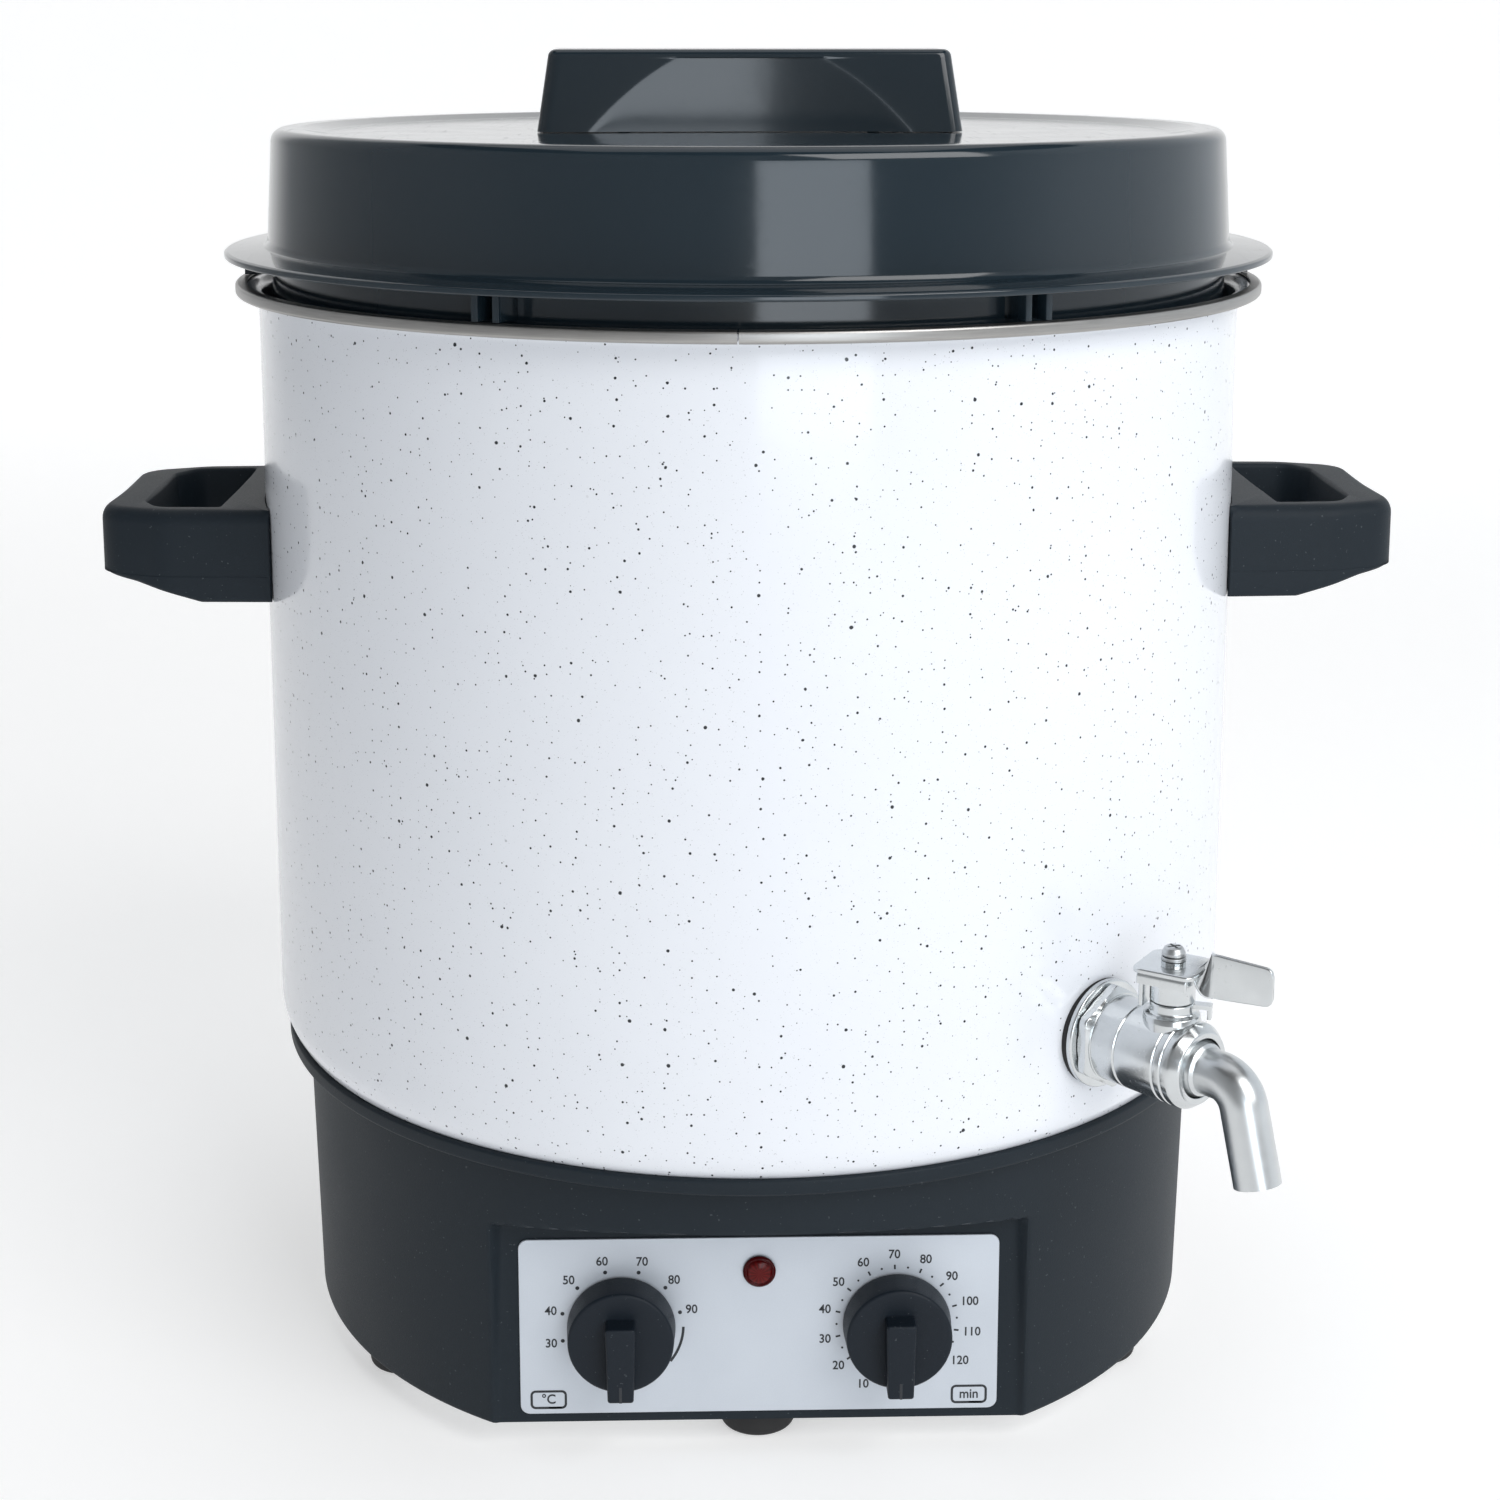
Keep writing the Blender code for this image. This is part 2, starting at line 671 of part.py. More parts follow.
def scoop(side):
    """Part of an upright drum that leans out as it rises, so the scoop is deepest at the lid."""
    foot = LID_SEAT
    top = LID_SEAT + KNOB_BLOCK_HEIGHT - SCOOP_TOP_MARGIN
    front_foot = KNOB_BLOCK_DEPTH / 2
    front_top = KNOB_BLOCK_TOP_DEPTH / 2
    centre_foot = front_foot - SCOOP_DEPTH + SCOOP_RADIUS
    centre_top = front_top - SCOOP_TOP_DEPTH + SCOOP_RADIUS
    lean = (centre_top - centre_foot) / (top - foot)
    shape = bmesh.new()
    bmesh.ops.create_cone(
        shape,
        cap_ends=True,
        segments=LARGE_STEPS,
        radius1=SCOOP_RADIUS,
        radius2=SCOOP_RADIUS,
        depth=2 * (top - foot),
    )
    for vert in shape.verts:
        vert.co.y = side * (vert.co.y + centre_foot + lean * vert.co.z)
        vert.co.z += foot
    if side < 0:
        bmesh.ops.reverse_faces(shape, faces=shape.faces)
    return add_mesh(f"scoop_{side}", shape)


def make_lid_handle():
    low = LID_SEAT + SEAT_GAP
    half, top_half = KNOB_BLOCK_LENGTH / 2, KNOB_BLOCK_TOP_LENGTH / 2
    deep, top_deep = KNOB_BLOCK_DEPTH / 2, KNOB_BLOCK_TOP_DEPTH / 2
    handle = tapered_block(
        "lid_handle",
        (-half, -deep, half, deep, low),
        (-top_half, -top_deep, top_half, top_deep, low + KNOB_BLOCK_HEIGHT),
        GLOSS_PLASTIC,
    )
    bevel(handle, KNOB_BLOCK_EDGE_RADIUS, 3, 30)
    cut(handle, scoop(-1), scoop(1))
    for place, word in lid_screw_places():
        pilot = rod(
            f"pilot_{word}",
            LID_SCREW_RADIUS + SEAT_GAP,
            (place, 0, low - CUT_OVERRUN),
            (place, 0, LID_SEAT - LID_WALL - SEAT_GAP + LID_SCREW_LENGTH + SEAT_GAP),
        )
        cut(handle, pilot)
    smooth(handle, 25)


def screw_shape(name, seat, tip, radius, head_radius, head_height, finish, parent=None):
    """A pan-head screw from its head's seat to its tip."""
    seat, tip = Vector(seat), Vector(tip)
    along = (tip - seat).normalized()
    back = seat - along * head_height
    middle = seat - along * head_height / 2
    body = rod(name, head_radius, seat, middle, SCREW_STEPS, finish, parent)
    crown = rod(
        f"{name}_crown", head_radius, middle + along * WELD_OVERLAP / 2, back, SCREW_STEPS,
        parent=parent, end_radius=head_radius * 3 / 4,
    )
    shank = rod(f"{name}_shank", radius, seat - along * WELD_OVERLAP, tip, SCREW_STEPS, parent=parent)
    join(body, crown, shank)
    return smooth(body)


def make_lid_screws():
    seat = LID_SEAT - LID_WALL - SEAT_GAP
    for place, word in lid_screw_places():
        screw_shape(
            f"lid_handle_screw_{word}",
            seat=(place, 0, seat),
            tip=(place, 0, seat + LID_SCREW_LENGTH),
            radius=LID_SCREW_RADIUS,
            head_radius=LID_SCREW_HEAD_RADIUS,
            head_height=LID_SCREW_HEAD_HEIGHT,
            finish=PLATED,
        )


make_lid()
make_lid_handle()
make_lid_screws()


def pot_outer_profile():
    flange = RING_RADIUS - RING_SHEET - SEAT_GAP
    under = POT_TOP - RIM_THICKNESS
    corner = (POT_RADIUS - POT_CORNER_RADIUS, POT_BOTTOM + POT_CORNER_RADIUS)
    return (
        [(0, POT_TOP), (flange, POT_TOP), (flange, under)]
        + [(POT_RADIUS + RIM_FLARE_FILLET, under), (POT_RADIUS, under - RIM_FLARE_FILLET)]
        + arc(corner, POT_CORNER_RADIUS, 0, -90, ARC_POINTS + 2)
        + [(0, POT_BOTTOM)]
    )


def pot_hollow_profile():
    inside = POT_RADIUS - POT_WALL
    radius = POT_CORNER_RADIUS - POT_WALL
    corner = (inside - radius, POT_BOTTOM + POT_CORNER_RADIUS)
    return (
        [(0, POT_TOP + CUT_OVERRUN), (inside, POT_TOP + CUT_OVERRUN)]
        + arc(corner, radius, 0, -90, ARC_POINTS)
        + [(0, POT_BOTTOM + POT_WALL)]
    )


def handle_bracket(side):
    """The enamelled bracket that each loop handle plugs on to: a shallow bulge and a tongue."""
    root_middle = HANDLE_TOP - HANDLE_ROOT_HEIGHT / 2
    bulge = rod(
        f"bracket_bulge_{side}",
        POT_RADIUS + BRACKET_BULGE,
        (0, 0, HANDLE_TOP - HANDLE_ROOT_HEIGHT - CUT_OVERRUN),
        (0, 0, HANDLE_TOP + CUT_OVERRUN),
        LARGE_STEPS,
    )
    half_height = HANDLE_ROOT_HEIGHT / 2 + BRACKET_BULGE
    face = rounded_rectangle(BRACKET_HALF_WIDTH, half_height, BRACKET_CORNER_RADIUS)
    turn = Matrix.Translation((0, 0, root_middle)) @ Matrix.Rotation(math.radians(90), 4, "X")
    turn = Matrix.Rotation(math.radians(90 * side), 4, "Z") @ turn
    limit = outline(f"bracket_limit_{side}", [face], -POT_RADIUS - POT_CORNER_RADIUS, -POT_RADIUS * 3 / 4, turn)
    boolean(bulge, limit, "INTERSECT")
    tongue = block(
        f"bracket_tongue_{side}",
        (POT_RADIUS - POT_CORNER_RADIUS, -TONGUE_HALF_WIDTH, root_middle - TONGUE_HEIGHT / 2),
        (POT_RADIUS + TONGUE_REACH, TONGUE_HALF_WIDTH, root_middle + TONGUE_HEIGHT / 2),
    )
    if side < 0:
        tongue.data.transform(Matrix.Rotation(math.pi, 4, "Z"))
    return bulge, tongue


def make_pot():
    pot = turned("pot", pot_outer_profile(), LARGE_STEPS, ENAMEL)
    for side in (-1, 1):
        join(pot, *handle_bracket(side))
    cut(pot, turned("pot_hollow", pot_hollow_profile(), LARGE_STEPS))
    reach = Vector(polar(POT_RADIUS, math.radians(TAP_TURN_DEG), 0))
    centre = Vector((0, 0, TAP_HEIGHT))
    cut(pot, rod("tap_hole", TAP_HOLE_RADIUS, centre + reach * 3 / 4, centre + reach * 5 / 4))
    stud = rod("pot_stud", STUD_RADIUS, (0, 0, POT_BOTTOM + WELD_OVERLAP), (0, 0, stud_tip()))
    join(pot, stud)
    for side in (-1, 1):
        for place in (-1, 1):
            hole = rod(
                f"tongue_hole_{side}_{place}",
                HANDLE_SCREW_RADIUS + SEAT_GAP,
                (*handle_screw_place(side, place), HANDLE_TOP - HANDLE_ROOT_HEIGHT),
                (*handle_screw_place(side, place), HANDLE_TOP - HANDLE_ROOT_HEIGHT / 2 + TONGUE_HEIGHT / 4),
                SMALL_STEPS // 2,
            )
            cut(pot, hole)
    smooth(pot)


def make_rim_ring():
    inner = RING_RADIUS - RING_SHEET
    reach = RING_RADIUS - RING_LIP
    bottom = POT_TOP - RIM_THICKNESS - SEAT_GAP - RING_SHEET
    round_off = RING_SHEET
    profile = [
        (reach, RING_TOP),
        (RING_RADIUS - round_off, RING_TOP),
        (RING_RADIUS, RING_TOP - round_off),
        (RING_RADIUS, bottom + round_off),
        (RING_RADIUS - round_off, bottom),
        (reach, bottom),
        (reach, bottom + RING_SHEET),
        (inner, bottom + RING_SHEET),
        (inner, RING_TOP - RING_SHEET),
        (reach, RING_TOP - RING_SHEET),
    ]
    ring = turned("rim_ring", profile, LARGE_STEPS, STEEL)
    joint = block(
        "ring_joint",
        (-RING_JOINT_OFFSET - RING_JOINT_GAP / 2, -RING_RADIUS - CUT_OVERRUN, bottom - CUT_OVERRUN),
        (-RING_JOINT_OFFSET + RING_JOINT_GAP / 2, -reach + 2 * RING_LIP, RING_TOP + CUT_OVERRUN),
    )
    smooth(cut(ring, joint))


def make_rack():
    """The perforated false floor that keeps the jars off the heated bottom."""
    top = POT_BOTTOM + POT_WALL + RACK_HEIGHT
    foot = POT_BOTTOM + POT_WALL + SEAT_GAP
    bend = RACK_RADIUS - RACK_RIM_DROP / 2
    profile = [
        (0, top),
        (bend, top),
        (RACK_RADIUS - RACK_SHEET, foot + RACK_RIM_DROP),
        (RACK_RADIUS - RACK_RIM_DROP, foot),
        (RACK_RADIUS - RACK_RIM_DROP - RACK_SHEET, foot),
        (RACK_RADIUS - 2 * RACK_SHEET, foot + RACK_RIM_DROP),
        (bend - RACK_SHEET, top - RACK_SHEET),
        (0, top - RACK_SHEET),
    ]
    rack = turned("bottom_rack", profile, MEDIUM_STEPS, STEEL)
    low, high = top - RACK_SHEET - CUT_OVERRUN, top + CUT_OVERRUN
    holes = [rod("rack_hole_centre", RACK_CENTRE_HOLE_RADIUS, (0, 0, low), (0, 0, high))]
    for share, count in zip(RACK_RING_SHARES, RACK_RING_COUNTS):
        radius = share * RACK_RADIUS
        for angle in around(count):
            start = polar(radius, angle, low)
            holes.append(
                rod("rack_hole", RACK_HOLE_RADIUS, start, polar(radius, angle, high), SMALL_STEPS // 2)
            )
    smooth(cut(rack, combined("rack_holes", holes)))


def handle_screw_place(side, place):
    return side * HANDLE_SCREW_PLACE, place * HANDLE_SCREW_SPACING / 2


def handle_plan():
    """Half outline of a loop handle seen from above, from the pot outwards, then mirrored."""
    root = POT_RADIUS * 3 / 4
    half = [
        (root, HANDLE_ROOT_HALF_WIDTH),
        (HANDLE_SHOULDER, HANDLE_ROOT_HALF_WIDTH - HANDLE_EDGE_RADIUS / 2),
    ]
    end = HANDLE_REACH
    corner = (end - HANDLE_CORNER_RADIUS, HANDLE_END_HALF_WIDTH - HANDLE_CORNER_RADIUS)
    half += arc(corner, HANDLE_CORNER_RADIUS, 62, 0, ARC_POINTS)
    return half + [(x, -y) for x, y in reversed(half)]


def grip_hole_plan(grow):
    inner = GRIP_HOLE_START
    outer = HANDLE_REACH - GRIP_THICKNESS + grow
    half = [
        (inner, GRIP_HOLE_HALF_WIDTH),
        (HANDLE_SHOULDER - GRIP_THICKNESS / 4, GRIP_HOLE_HALF_WIDTH),
        (outer, GRIP_HOLE_END_HALF_WIDTH),
    ]
    return half + [(x, -y) for x, y in reversed(half)]


def grip_hole(side):
    """The finger gap: its outer wall slopes in from the top, so the top opening is the longer one."""
    low = HANDLE_TOP - HANDLE_ROOT_HEIGHT - CUT_OVERRUN
    high = HANDLE_TOP + CUT_OVERRUN
    hole = outline(f"grip_hole_{side}", [grip_hole_plan(0)], low, high)
    middle = HANDLE_TOP - HANDLE_ROOT_HEIGHT / 2
    for vert in hole.data.vertices:
        if vert.co.z > middle and vert.co.x > HANDLE_SHOULDER:
            vert.co.x += GRIP_HOLE_DRAFT
    hole.modifiers.new("flat_faces", "TRIANGULATE")
    return hole


def make_handle(side, word):
    bottom = HANDLE_TOP - HANDLE_ROOT_HEIGHT
    handle = outline(f"handle_{word}", [handle_plan()], bottom, HANDLE_TOP, finish=HOUSING_PLASTIC)
    cut_low = bottom - HANDLE_ROOT_HEIGHT
    back = HANDLE_BOTTOM_FLAT - GRIP_THICKNESS
    front = HANDLE_REACH + GRIP_THICKNESS
    slope = (HANDLE_ROOT_HEIGHT - HANDLE_END_HEIGHT) / (HANDLE_REACH - HANDLE_BOTTOM_FLAT)
    wide = HANDLE_ROOT_HALF_WIDTH + CUT_OVERRUN
    under = tapered_block(
        f"handle_under_{word}",
        (back, -wide, front, wide, cut_low),
        (back, -wide, front, wide, bottom),
    )
    for vert in under.data.vertices:
        if vert.co.z > cut_low + CUT_OVERRUN:
            vert.co.z += slope * (vert.co.x - HANDLE_BOTTOM_FLAT)
    cut(handle, under)
    bevel(handle, HANDLE_EDGE_RADIUS, 3, 28)
    cut(handle, grip_hole(side))
    seat = rod(
        f"handle_seat_{word}",
        POT_RADIUS + BRACKET_BULGE + SEAT_GAP,
        (0, 0, bottom - CUT_OVERRUN),
        (0, 0, HANDLE_TOP + CUT_OVERRUN),
        LARGE_STEPS,
    )
    cut(handle, seat)
    root_middle = HANDLE_TOP - HANDLE_ROOT_HEIGHT / 2
    tongue_half = TONGUE_HALF_WIDTH + SEAT_GAP
    pocket = block(
        f"handle_pocket_{word}",
        (POT_RADIUS - POT_CORNER_RADIUS, -tongue_half, root_middle - TONGUE_HEIGHT / 2 - SEAT_GAP),
        (POT_RADIUS + TONGUE_REACH + SEAT_GAP, tongue_half, root_middle + TONGUE_HEIGHT / 2 + SEAT_GAP),
    )
    cut(handle, pocket)
    for place in (-1, 1):
        x, y = handle_screw_place(1, place)
        shank = rod(
            f"handle_shank_{word}_{place}",
            HANDLE_SCREW_RADIUS + SEAT_GAP,
            (x, y, bottom - CUT_OVERRUN),
            (x, y, root_middle),
            SMALL_STEPS // 2,
        )
        head = rod(
            f"handle_counterbore_{word}_{place}",
            HANDLE_SCREW_HEAD_RADIUS + SEAT_GAP,
            (x, y, bottom - CUT_OVERRUN),
            (x, y, bottom + HANDLE_SCREW_INSET),
        )
        cut(handle, shank, head)
    if side < 0:
        handle.matrix_world = Matrix.Rotation(math.pi, 4, "Z")
        for change in handle.modifiers:
            if change.type == "BOOLEAN":
                change.object.parent = handle
    smooth(handle)


def make_handle_screws():
    seat = HANDLE_TOP - HANDLE_ROOT_HEIGHT + HANDLE_SCREW_INSET - SEAT_GAP
    for side, word in ((-1, "left"), (1, "right")):
        for place, end in ((-1, "front"), (1, "rear")):
            x, y = handle_screw_place(side, place)
            screw_shape(
                f"handle_screw_{word}_{end}",
                seat=(x, y, seat),
                tip=(x, y, seat + HANDLE_SCREW_LENGTH),
                radius=HANDLE_SCREW_RADIUS,
                head_radius=HANDLE_SCREW_HEAD_RADIUS,
                head_height=HANDLE_SCREW_HEAD_HEIGHT,
                finish=PLATED,
            )


def stud_tip():
    """The stud ends just past the nut under the bottom cover."""
    return BASE_BOTTOM - 2 * SEAT_GAP - WASHER_THICKNESS - NUT_HEIGHT


make_pot()
make_rim_ring()
make_rack()
for handle_side, handle_word in ((-1, "left"), (1, "right")):
    make_handle(handle_side, handle_word)
make_handle_screws()


def wall_radius(height):
    """Radius of the drafted housing wall at a height above the table."""
    share = (height - BASE_BOTTOM) / BASE_HEIGHT
    return BASE_BOTTOM_RADIUS + (BASE_TOP_RADIUS - BASE_BOTTOM_RADIUS) * share


def lip_foot():
    return BASE_TOP - LIP_HEIGHT


def base_outer_profile():
    """From the open top: lip under the pot, drafted wall, small fillet at the bottom edge."""
    foot = BASE_BOTTOM + BASE_BOTTOM_FILLET
    under_lip = lip_foot() - LIP_UNDERCUT
    fillet = (wall_radius(foot) - BASE_BOTTOM_FILLET, foot)
    return (
        [(0, BASE_TOP), (LIP_RADIUS - SEAT_GAP, BASE_TOP), (LIP_RADIUS, lip_foot())]
        + [(wall_radius(under_lip), under_lip)]
        + arc(fillet, BASE_BOTTOM_FILLET, 0, -90, 3)
        + [(0, BASE_BOTTOM)]
    )


def shelf_top():
    return POT_BOTTOM - SEAT_GAP - POT_SEAL_THICKNESS - SEAT_GAP


def base_hollow_profile():
    """Seat for the pot's corner, the shelf that carries the pot, and the room for the heater below."""
    centre = (POT_RADIUS - POT_CORNER_RADIUS, POT_BOTTOM + POT_CORNER_RADIUS)
    reach = POT_CORNER_RADIUS + POT_SEAT_CLEARANCE
    mouth = math.degrees(math.asin((BASE_TOP - centre[1]) / reach))
    seat = arc(centre, reach, mouth, -90)
    ledge = BASE_BOTTOM + COVER_THICKNESS + SEAT_GAP
    inside_bottom = wall_radius(ledge) - BASE_WALL
    inside_top = wall_radius(lip_foot()) - BASE_WALL
    shelf = shelf_top()
    return (
        [(0, BASE_TOP + CUT_OVERRUN), (seat[0][0], BASE_TOP + CUT_OVERRUN)]
        + seat
        + [(centre[0], shelf), (SHELF_INNER_RADIUS, shelf)]
        + [(SHELF_INNER_RADIUS, shelf - SHELF_THICKNESS)]
        + [(inside_top - BASE_WALL, shelf - SHELF_THICKNESS)]
        + [(inside_top, shelf - SHELF_THICKNESS - 2 * BASE_WALL)]
        + [(inside_bottom, ledge + COVER_LEDGE_HEIGHT)]
        + [(inside_bottom - COVER_LEDGE_WIDTH, ledge + COVER_LEDGE_HEIGHT)]
        + [(inside_bottom - COVER_LEDGE_WIDTH, ledge)]
        + [(inside_bottom, ledge)]
        + [(inside_bottom, BASE_BOTTOM - CUT_OVERRUN)]
        + [(0, BASE_BOTTOM - CUT_OVERRUN)]
    )


def recess_cutter():
    """Front recess: flat panel, sides that open towards the front and a ceiling that rises."""
    low = BASE_BOTTOM - CUT_OVERRUN
    high = BASE_BOTTOM + RECESS_HEIGHT
    reach = BASE_TOP_RADIUS + CUT_OVERRUN
    depth = reach + PANEL_Y
    open_side = depth * math.tan(math.radians(RECESS_SIDE_DRAFT_DEG))
    rise = depth * math.tan(math.radians(RECESS_CEILING_SLOPE_DEG))
    shape = bmesh.new()
    bmesh.ops.create_cube(shape, size=1)
    for vert in shape.verts:
        front = vert.co.y < 0
        top = vert.co.z > 0
        half = RECESS_HALF_WIDTH + (open_side if front else 0) + (0 if top else RECESS_BOTTOM_FLARE)
        vert.co = (
            math.copysign(half, vert.co.x),
            -reach if front else PANEL_Y,
            (high + (rise if front else 0)) if top else low,
        )
    return add_mesh("control_recess", shape)


def recess_backing():
    """What the hollow leaves standing behind the recess: its wall and its ceiling."""
    high = BASE_BOTTOM + RECESS_HEIGHT + BASE_WALL
    reach = BASE_TOP_RADIUS + CUT_OVERRUN
    back = PANEL_Y + BASE_WALL
    depth = reach + back
    rise = depth * math.tan(math.radians(RECESS_CEILING_SLOPE_DEG))
    open_side = depth * math.tan(math.radians(RECESS_SIDE_DRAFT_DEG))
    shape = bmesh.new()
    bmesh.ops.create_cube(shape, size=1)
    for vert in shape.verts:
        front = vert.co.y < 0
        top = vert.co.z > 0
        half = RECESS_HALF_WIDTH + RECESS_BOTTOM_FLARE + BASE_WALL + (open_side if front else 0)
        vert.co = (
            math.copysign(half, vert.co.x),
            -reach if front else back,
            (high + (rise if front else 0)) if top else BASE_BOTTOM - 2 * CUT_OVERRUN,
        )
    return add_mesh("recess_backing", shape)


def cover_screw_angles():
    return [math.radians(angle) for angle in COVER_SCREW_ANGLES_DEG]


def foot_places():
    """Six feet in a ring, the front one set back behind the control panel."""
    places = []
    for number, angle in enumerate(around(FOOT_COUNT)):
        radius = FOOT_PITCH_RADIUS - (FRONT_FOOT_SETBACK if number == 0 else 0)
        places.append(polar(radius, angle))
    return places


def make_base():
    base = turned("base_housing", base_outer_profile(), LARGE_STEPS, HOUSING_PLASTIC)
    hollow = turned("base_hollow", base_hollow_profile(), LARGE_STEPS)
    cut(hollow, recess_backing())
    cut(base, hollow, recess_cutter())
    cover_z = BASE_BOTTOM + COVER_THICKNESS + SEAT_GAP
    bosses = []
    for angle in cover_screw_angles():
        boss = rod(
            "cover_boss",
            COVER_SCREW_RADIUS + COVER_BOSS_WALL,
            polar(COVER_BOSS_PITCH_RADIUS, angle, cover_z),
            polar(COVER_BOSS_PITCH_RADIUS, angle, cover_z + COVER_SCREW_LENGTH + COVER_BOSS_WALL),
        )
        bosses.append(boss)
        arm = block(
            "cover_boss_arm",
            (-COVER_BOSS_WALL / 2, -wall_radius(cover_z) + BASE_WALL / 2, cover_z + COVER_BOSS_WALL),
            (
                COVER_BOSS_WALL / 2,
                -COVER_BOSS_PITCH_RADIUS - COVER_SCREW_RADIUS * 3 / 2,
                cover_z + COVER_SCREW_LENGTH,
            ),
        )
        arm.data.transform(Matrix.Rotation(angle, 4, "Z"))
        join(base, boss, arm)
        pilot = rod(
            "cover_pilot",
            COVER_SCREW_RADIUS + SEAT_GAP,
            polar(COVER_BOSS_PITCH_RADIUS, angle, cover_z - CUT_OVERRUN),
            polar(COVER_BOSS_PITCH_RADIUS, angle, cover_z + COVER_SCREW_LENGTH),
            SMALL_STEPS // 2,
        )
        cut(base, pilot)
    for side in (-1, 1):
        cut(
            base,
            rod(
                f"bush_hole_{side}",
                SHAFT_BUSH_RADIUS + SEAT_GAP,
                (side * CONTROL_SPACING / 2, PANEL_Y - CUT_OVERRUN, PLATE_CENTRE),
                (side * CONTROL_SPACING / 2, PANEL_Y + BASE_WALL + CUT_OVERRUN, PLATE_CENTRE),
            ),
        )
    lamp_z = PLATE_CENTRE + LAMP_RISE
    cut(
        base,
        rod(
            "lamp_hole",
            LAMP_BODY_RADIUS + SEAT_GAP,
            (0, PANEL_Y - CUT_OVERRUN, lamp_z),
            (0, PANEL_Y + BASE_WALL + CUT_OVERRUN, lamp_z),
        ),
        rod(
            "gland_hole",
            GLAND_RADIUS + SEAT_GAP,
            (0, BASE_BOTTOM_RADIUS - 2 * BASE_WALL, BASE_BOTTOM + GLAND_HEIGHT),
            (0, BASE_TOP_RADIUS + CUT_OVERRUN, BASE_BOTTOM + GLAND_HEIGHT),
        ),
    )
    smooth(base)


def make_pot_seal():
    low = shelf_top() + SEAT_GAP
    high = POT_BOTTOM - SEAT_GAP
    inner = SHELF_INNER_RADIUS + POT_SEAL_WIDTH / 4
    outer = inner + POT_SEAL_WIDTH
    profile = [(outer, high), (outer, low), (inner, low), (inner, high)]
    turned("pot_seal", profile, LARGE_STEPS, RUBBER)


def make_cover():
    """Pressed steel disc with a stiffening bead, vent slots and holes for the feet and screws."""
    radius = wall_radius(BASE_BOTTOM) - BASE_WALL - SEAT_GAP
    low, high = BASE_BOTTOM, BASE_BOTTOM + COVER_THICKNESS
    inner, outer = COVER_BEAD_RADIUS - COVER_BEAD_WIDTH / 2, COVER_BEAD_RADIUS + COVER_BEAD_WIDTH / 2
    ramp = COVER_BEAD_HEIGHT
    profile = [
        (0, high),
        (inner, high),
        (inner + ramp, high + COVER_BEAD_HEIGHT),
        (outer - ramp, high + COVER_BEAD_HEIGHT),
        (outer, high),
        (radius, high),
        (radius, low),
        (outer, low),
        (outer - ramp, low + COVER_BEAD_HEIGHT),
        (inner + ramp, low + COVER_BEAD_HEIGHT),
        (inner, low),
        (0, low),
    ]
    cover = turned("bottom_cover", profile, LARGE_STEPS, PLATED)
    backing = recess_backing()
    backing.name = "cover_front_limit"
    for vert in backing.data.vertices:
        vert.co.y += SEAT_GAP
        vert.co.x += math.copysign(SEAT_GAP, vert.co.x)
    cut(cover, backing)
    under, over = low - CUT_OVERRUN, high + CUT_OVERRUN
    holes = [rod("stud_hole", STUD_RADIUS + SEAT_GAP, (0, 0, under), (0, 0, over))]
    for place in foot_places():
        start = Vector((place.x, place.y, under))
        stem = FOOT_STEM_RADIUS + SEAT_GAP
        holes.append(rod("foot_hole", stem, start, (place.x, place.y, over), SMALL_STEPS))
    for angle in cover_screw_angles():
        start = polar(COVER_BOSS_PITCH_RADIUS, angle, under)
        end = polar(COVER_BOSS_PITCH_RADIUS, angle, over)
        holes.append(rod("cover_hole", COVER_SCREW_RADIUS + SEAT_GAP, start, end, SMALL_STEPS // 2))
    for side in (-1, 1):
        for row in range(VENTS_A_SIDE):
            y = (row - (VENTS_A_SIDE - 1) / 2) * VENT_PITCH
            half = VENT_LENGTH / 2
            middle = side * COVER_BEAD_RADIUS / 2
            slot = outline("vent_slot", [rounded_rectangle(half, VENT_WIDTH / 2, VENT_WIDTH / 2, 3)], under, over)
            slot.data.transform(Matrix.Translation((middle, y, 0)))
            holes.append(slot)
    cut(cover, combined("cover_holes", holes))
    smooth(cover)


def make_cover_fasteners():
    high = BASE_BOTTOM + COVER_THICKNESS
    for number, angle in enumerate(cover_screw_angles()):
        screw_shape(
            f"cover_screw_{number + 1}",
            seat=polar(COVER_BOSS_PITCH_RADIUS, angle, BASE_BOTTOM - SEAT_GAP),
            tip=polar(COVER_BOSS_PITCH_RADIUS, angle, high + COVER_SCREW_LENGTH - COVER_BOSS_WALL),
            radius=COVER_SCREW_RADIUS,
            head_radius=COVER_SCREW_HEAD_RADIUS,
            head_height=COVER_SCREW_HEAD_HEIGHT,
            finish=PLATED,
        )
    nut_top = BASE_BOTTOM - SEAT_GAP - WASHER_THICKNESS - SEAT_GAP
    washer = rod(
        "cover_washer",
        WASHER_RADIUS,
        (0, 0, BASE_BOTTOM - SEAT_GAP - WASHER_THICKNESS),
        (0, 0, BASE_BOTTOM - SEAT_GAP),
        finish=PLATED,
    )
    nut = hexagon("cover_nut", NUT_ACROSS_FLATS, (0, 0, nut_top - NUT_HEIGHT), (0, 0, nut_top), PLATED)
    bore = rod("nut_bore", STUD_RADIUS + SEAT_GAP, (0, 0, 0), (0, 0, BASE_TOP))
    smooth(cut(washer, bore))
    smooth(cut(nut, bore))


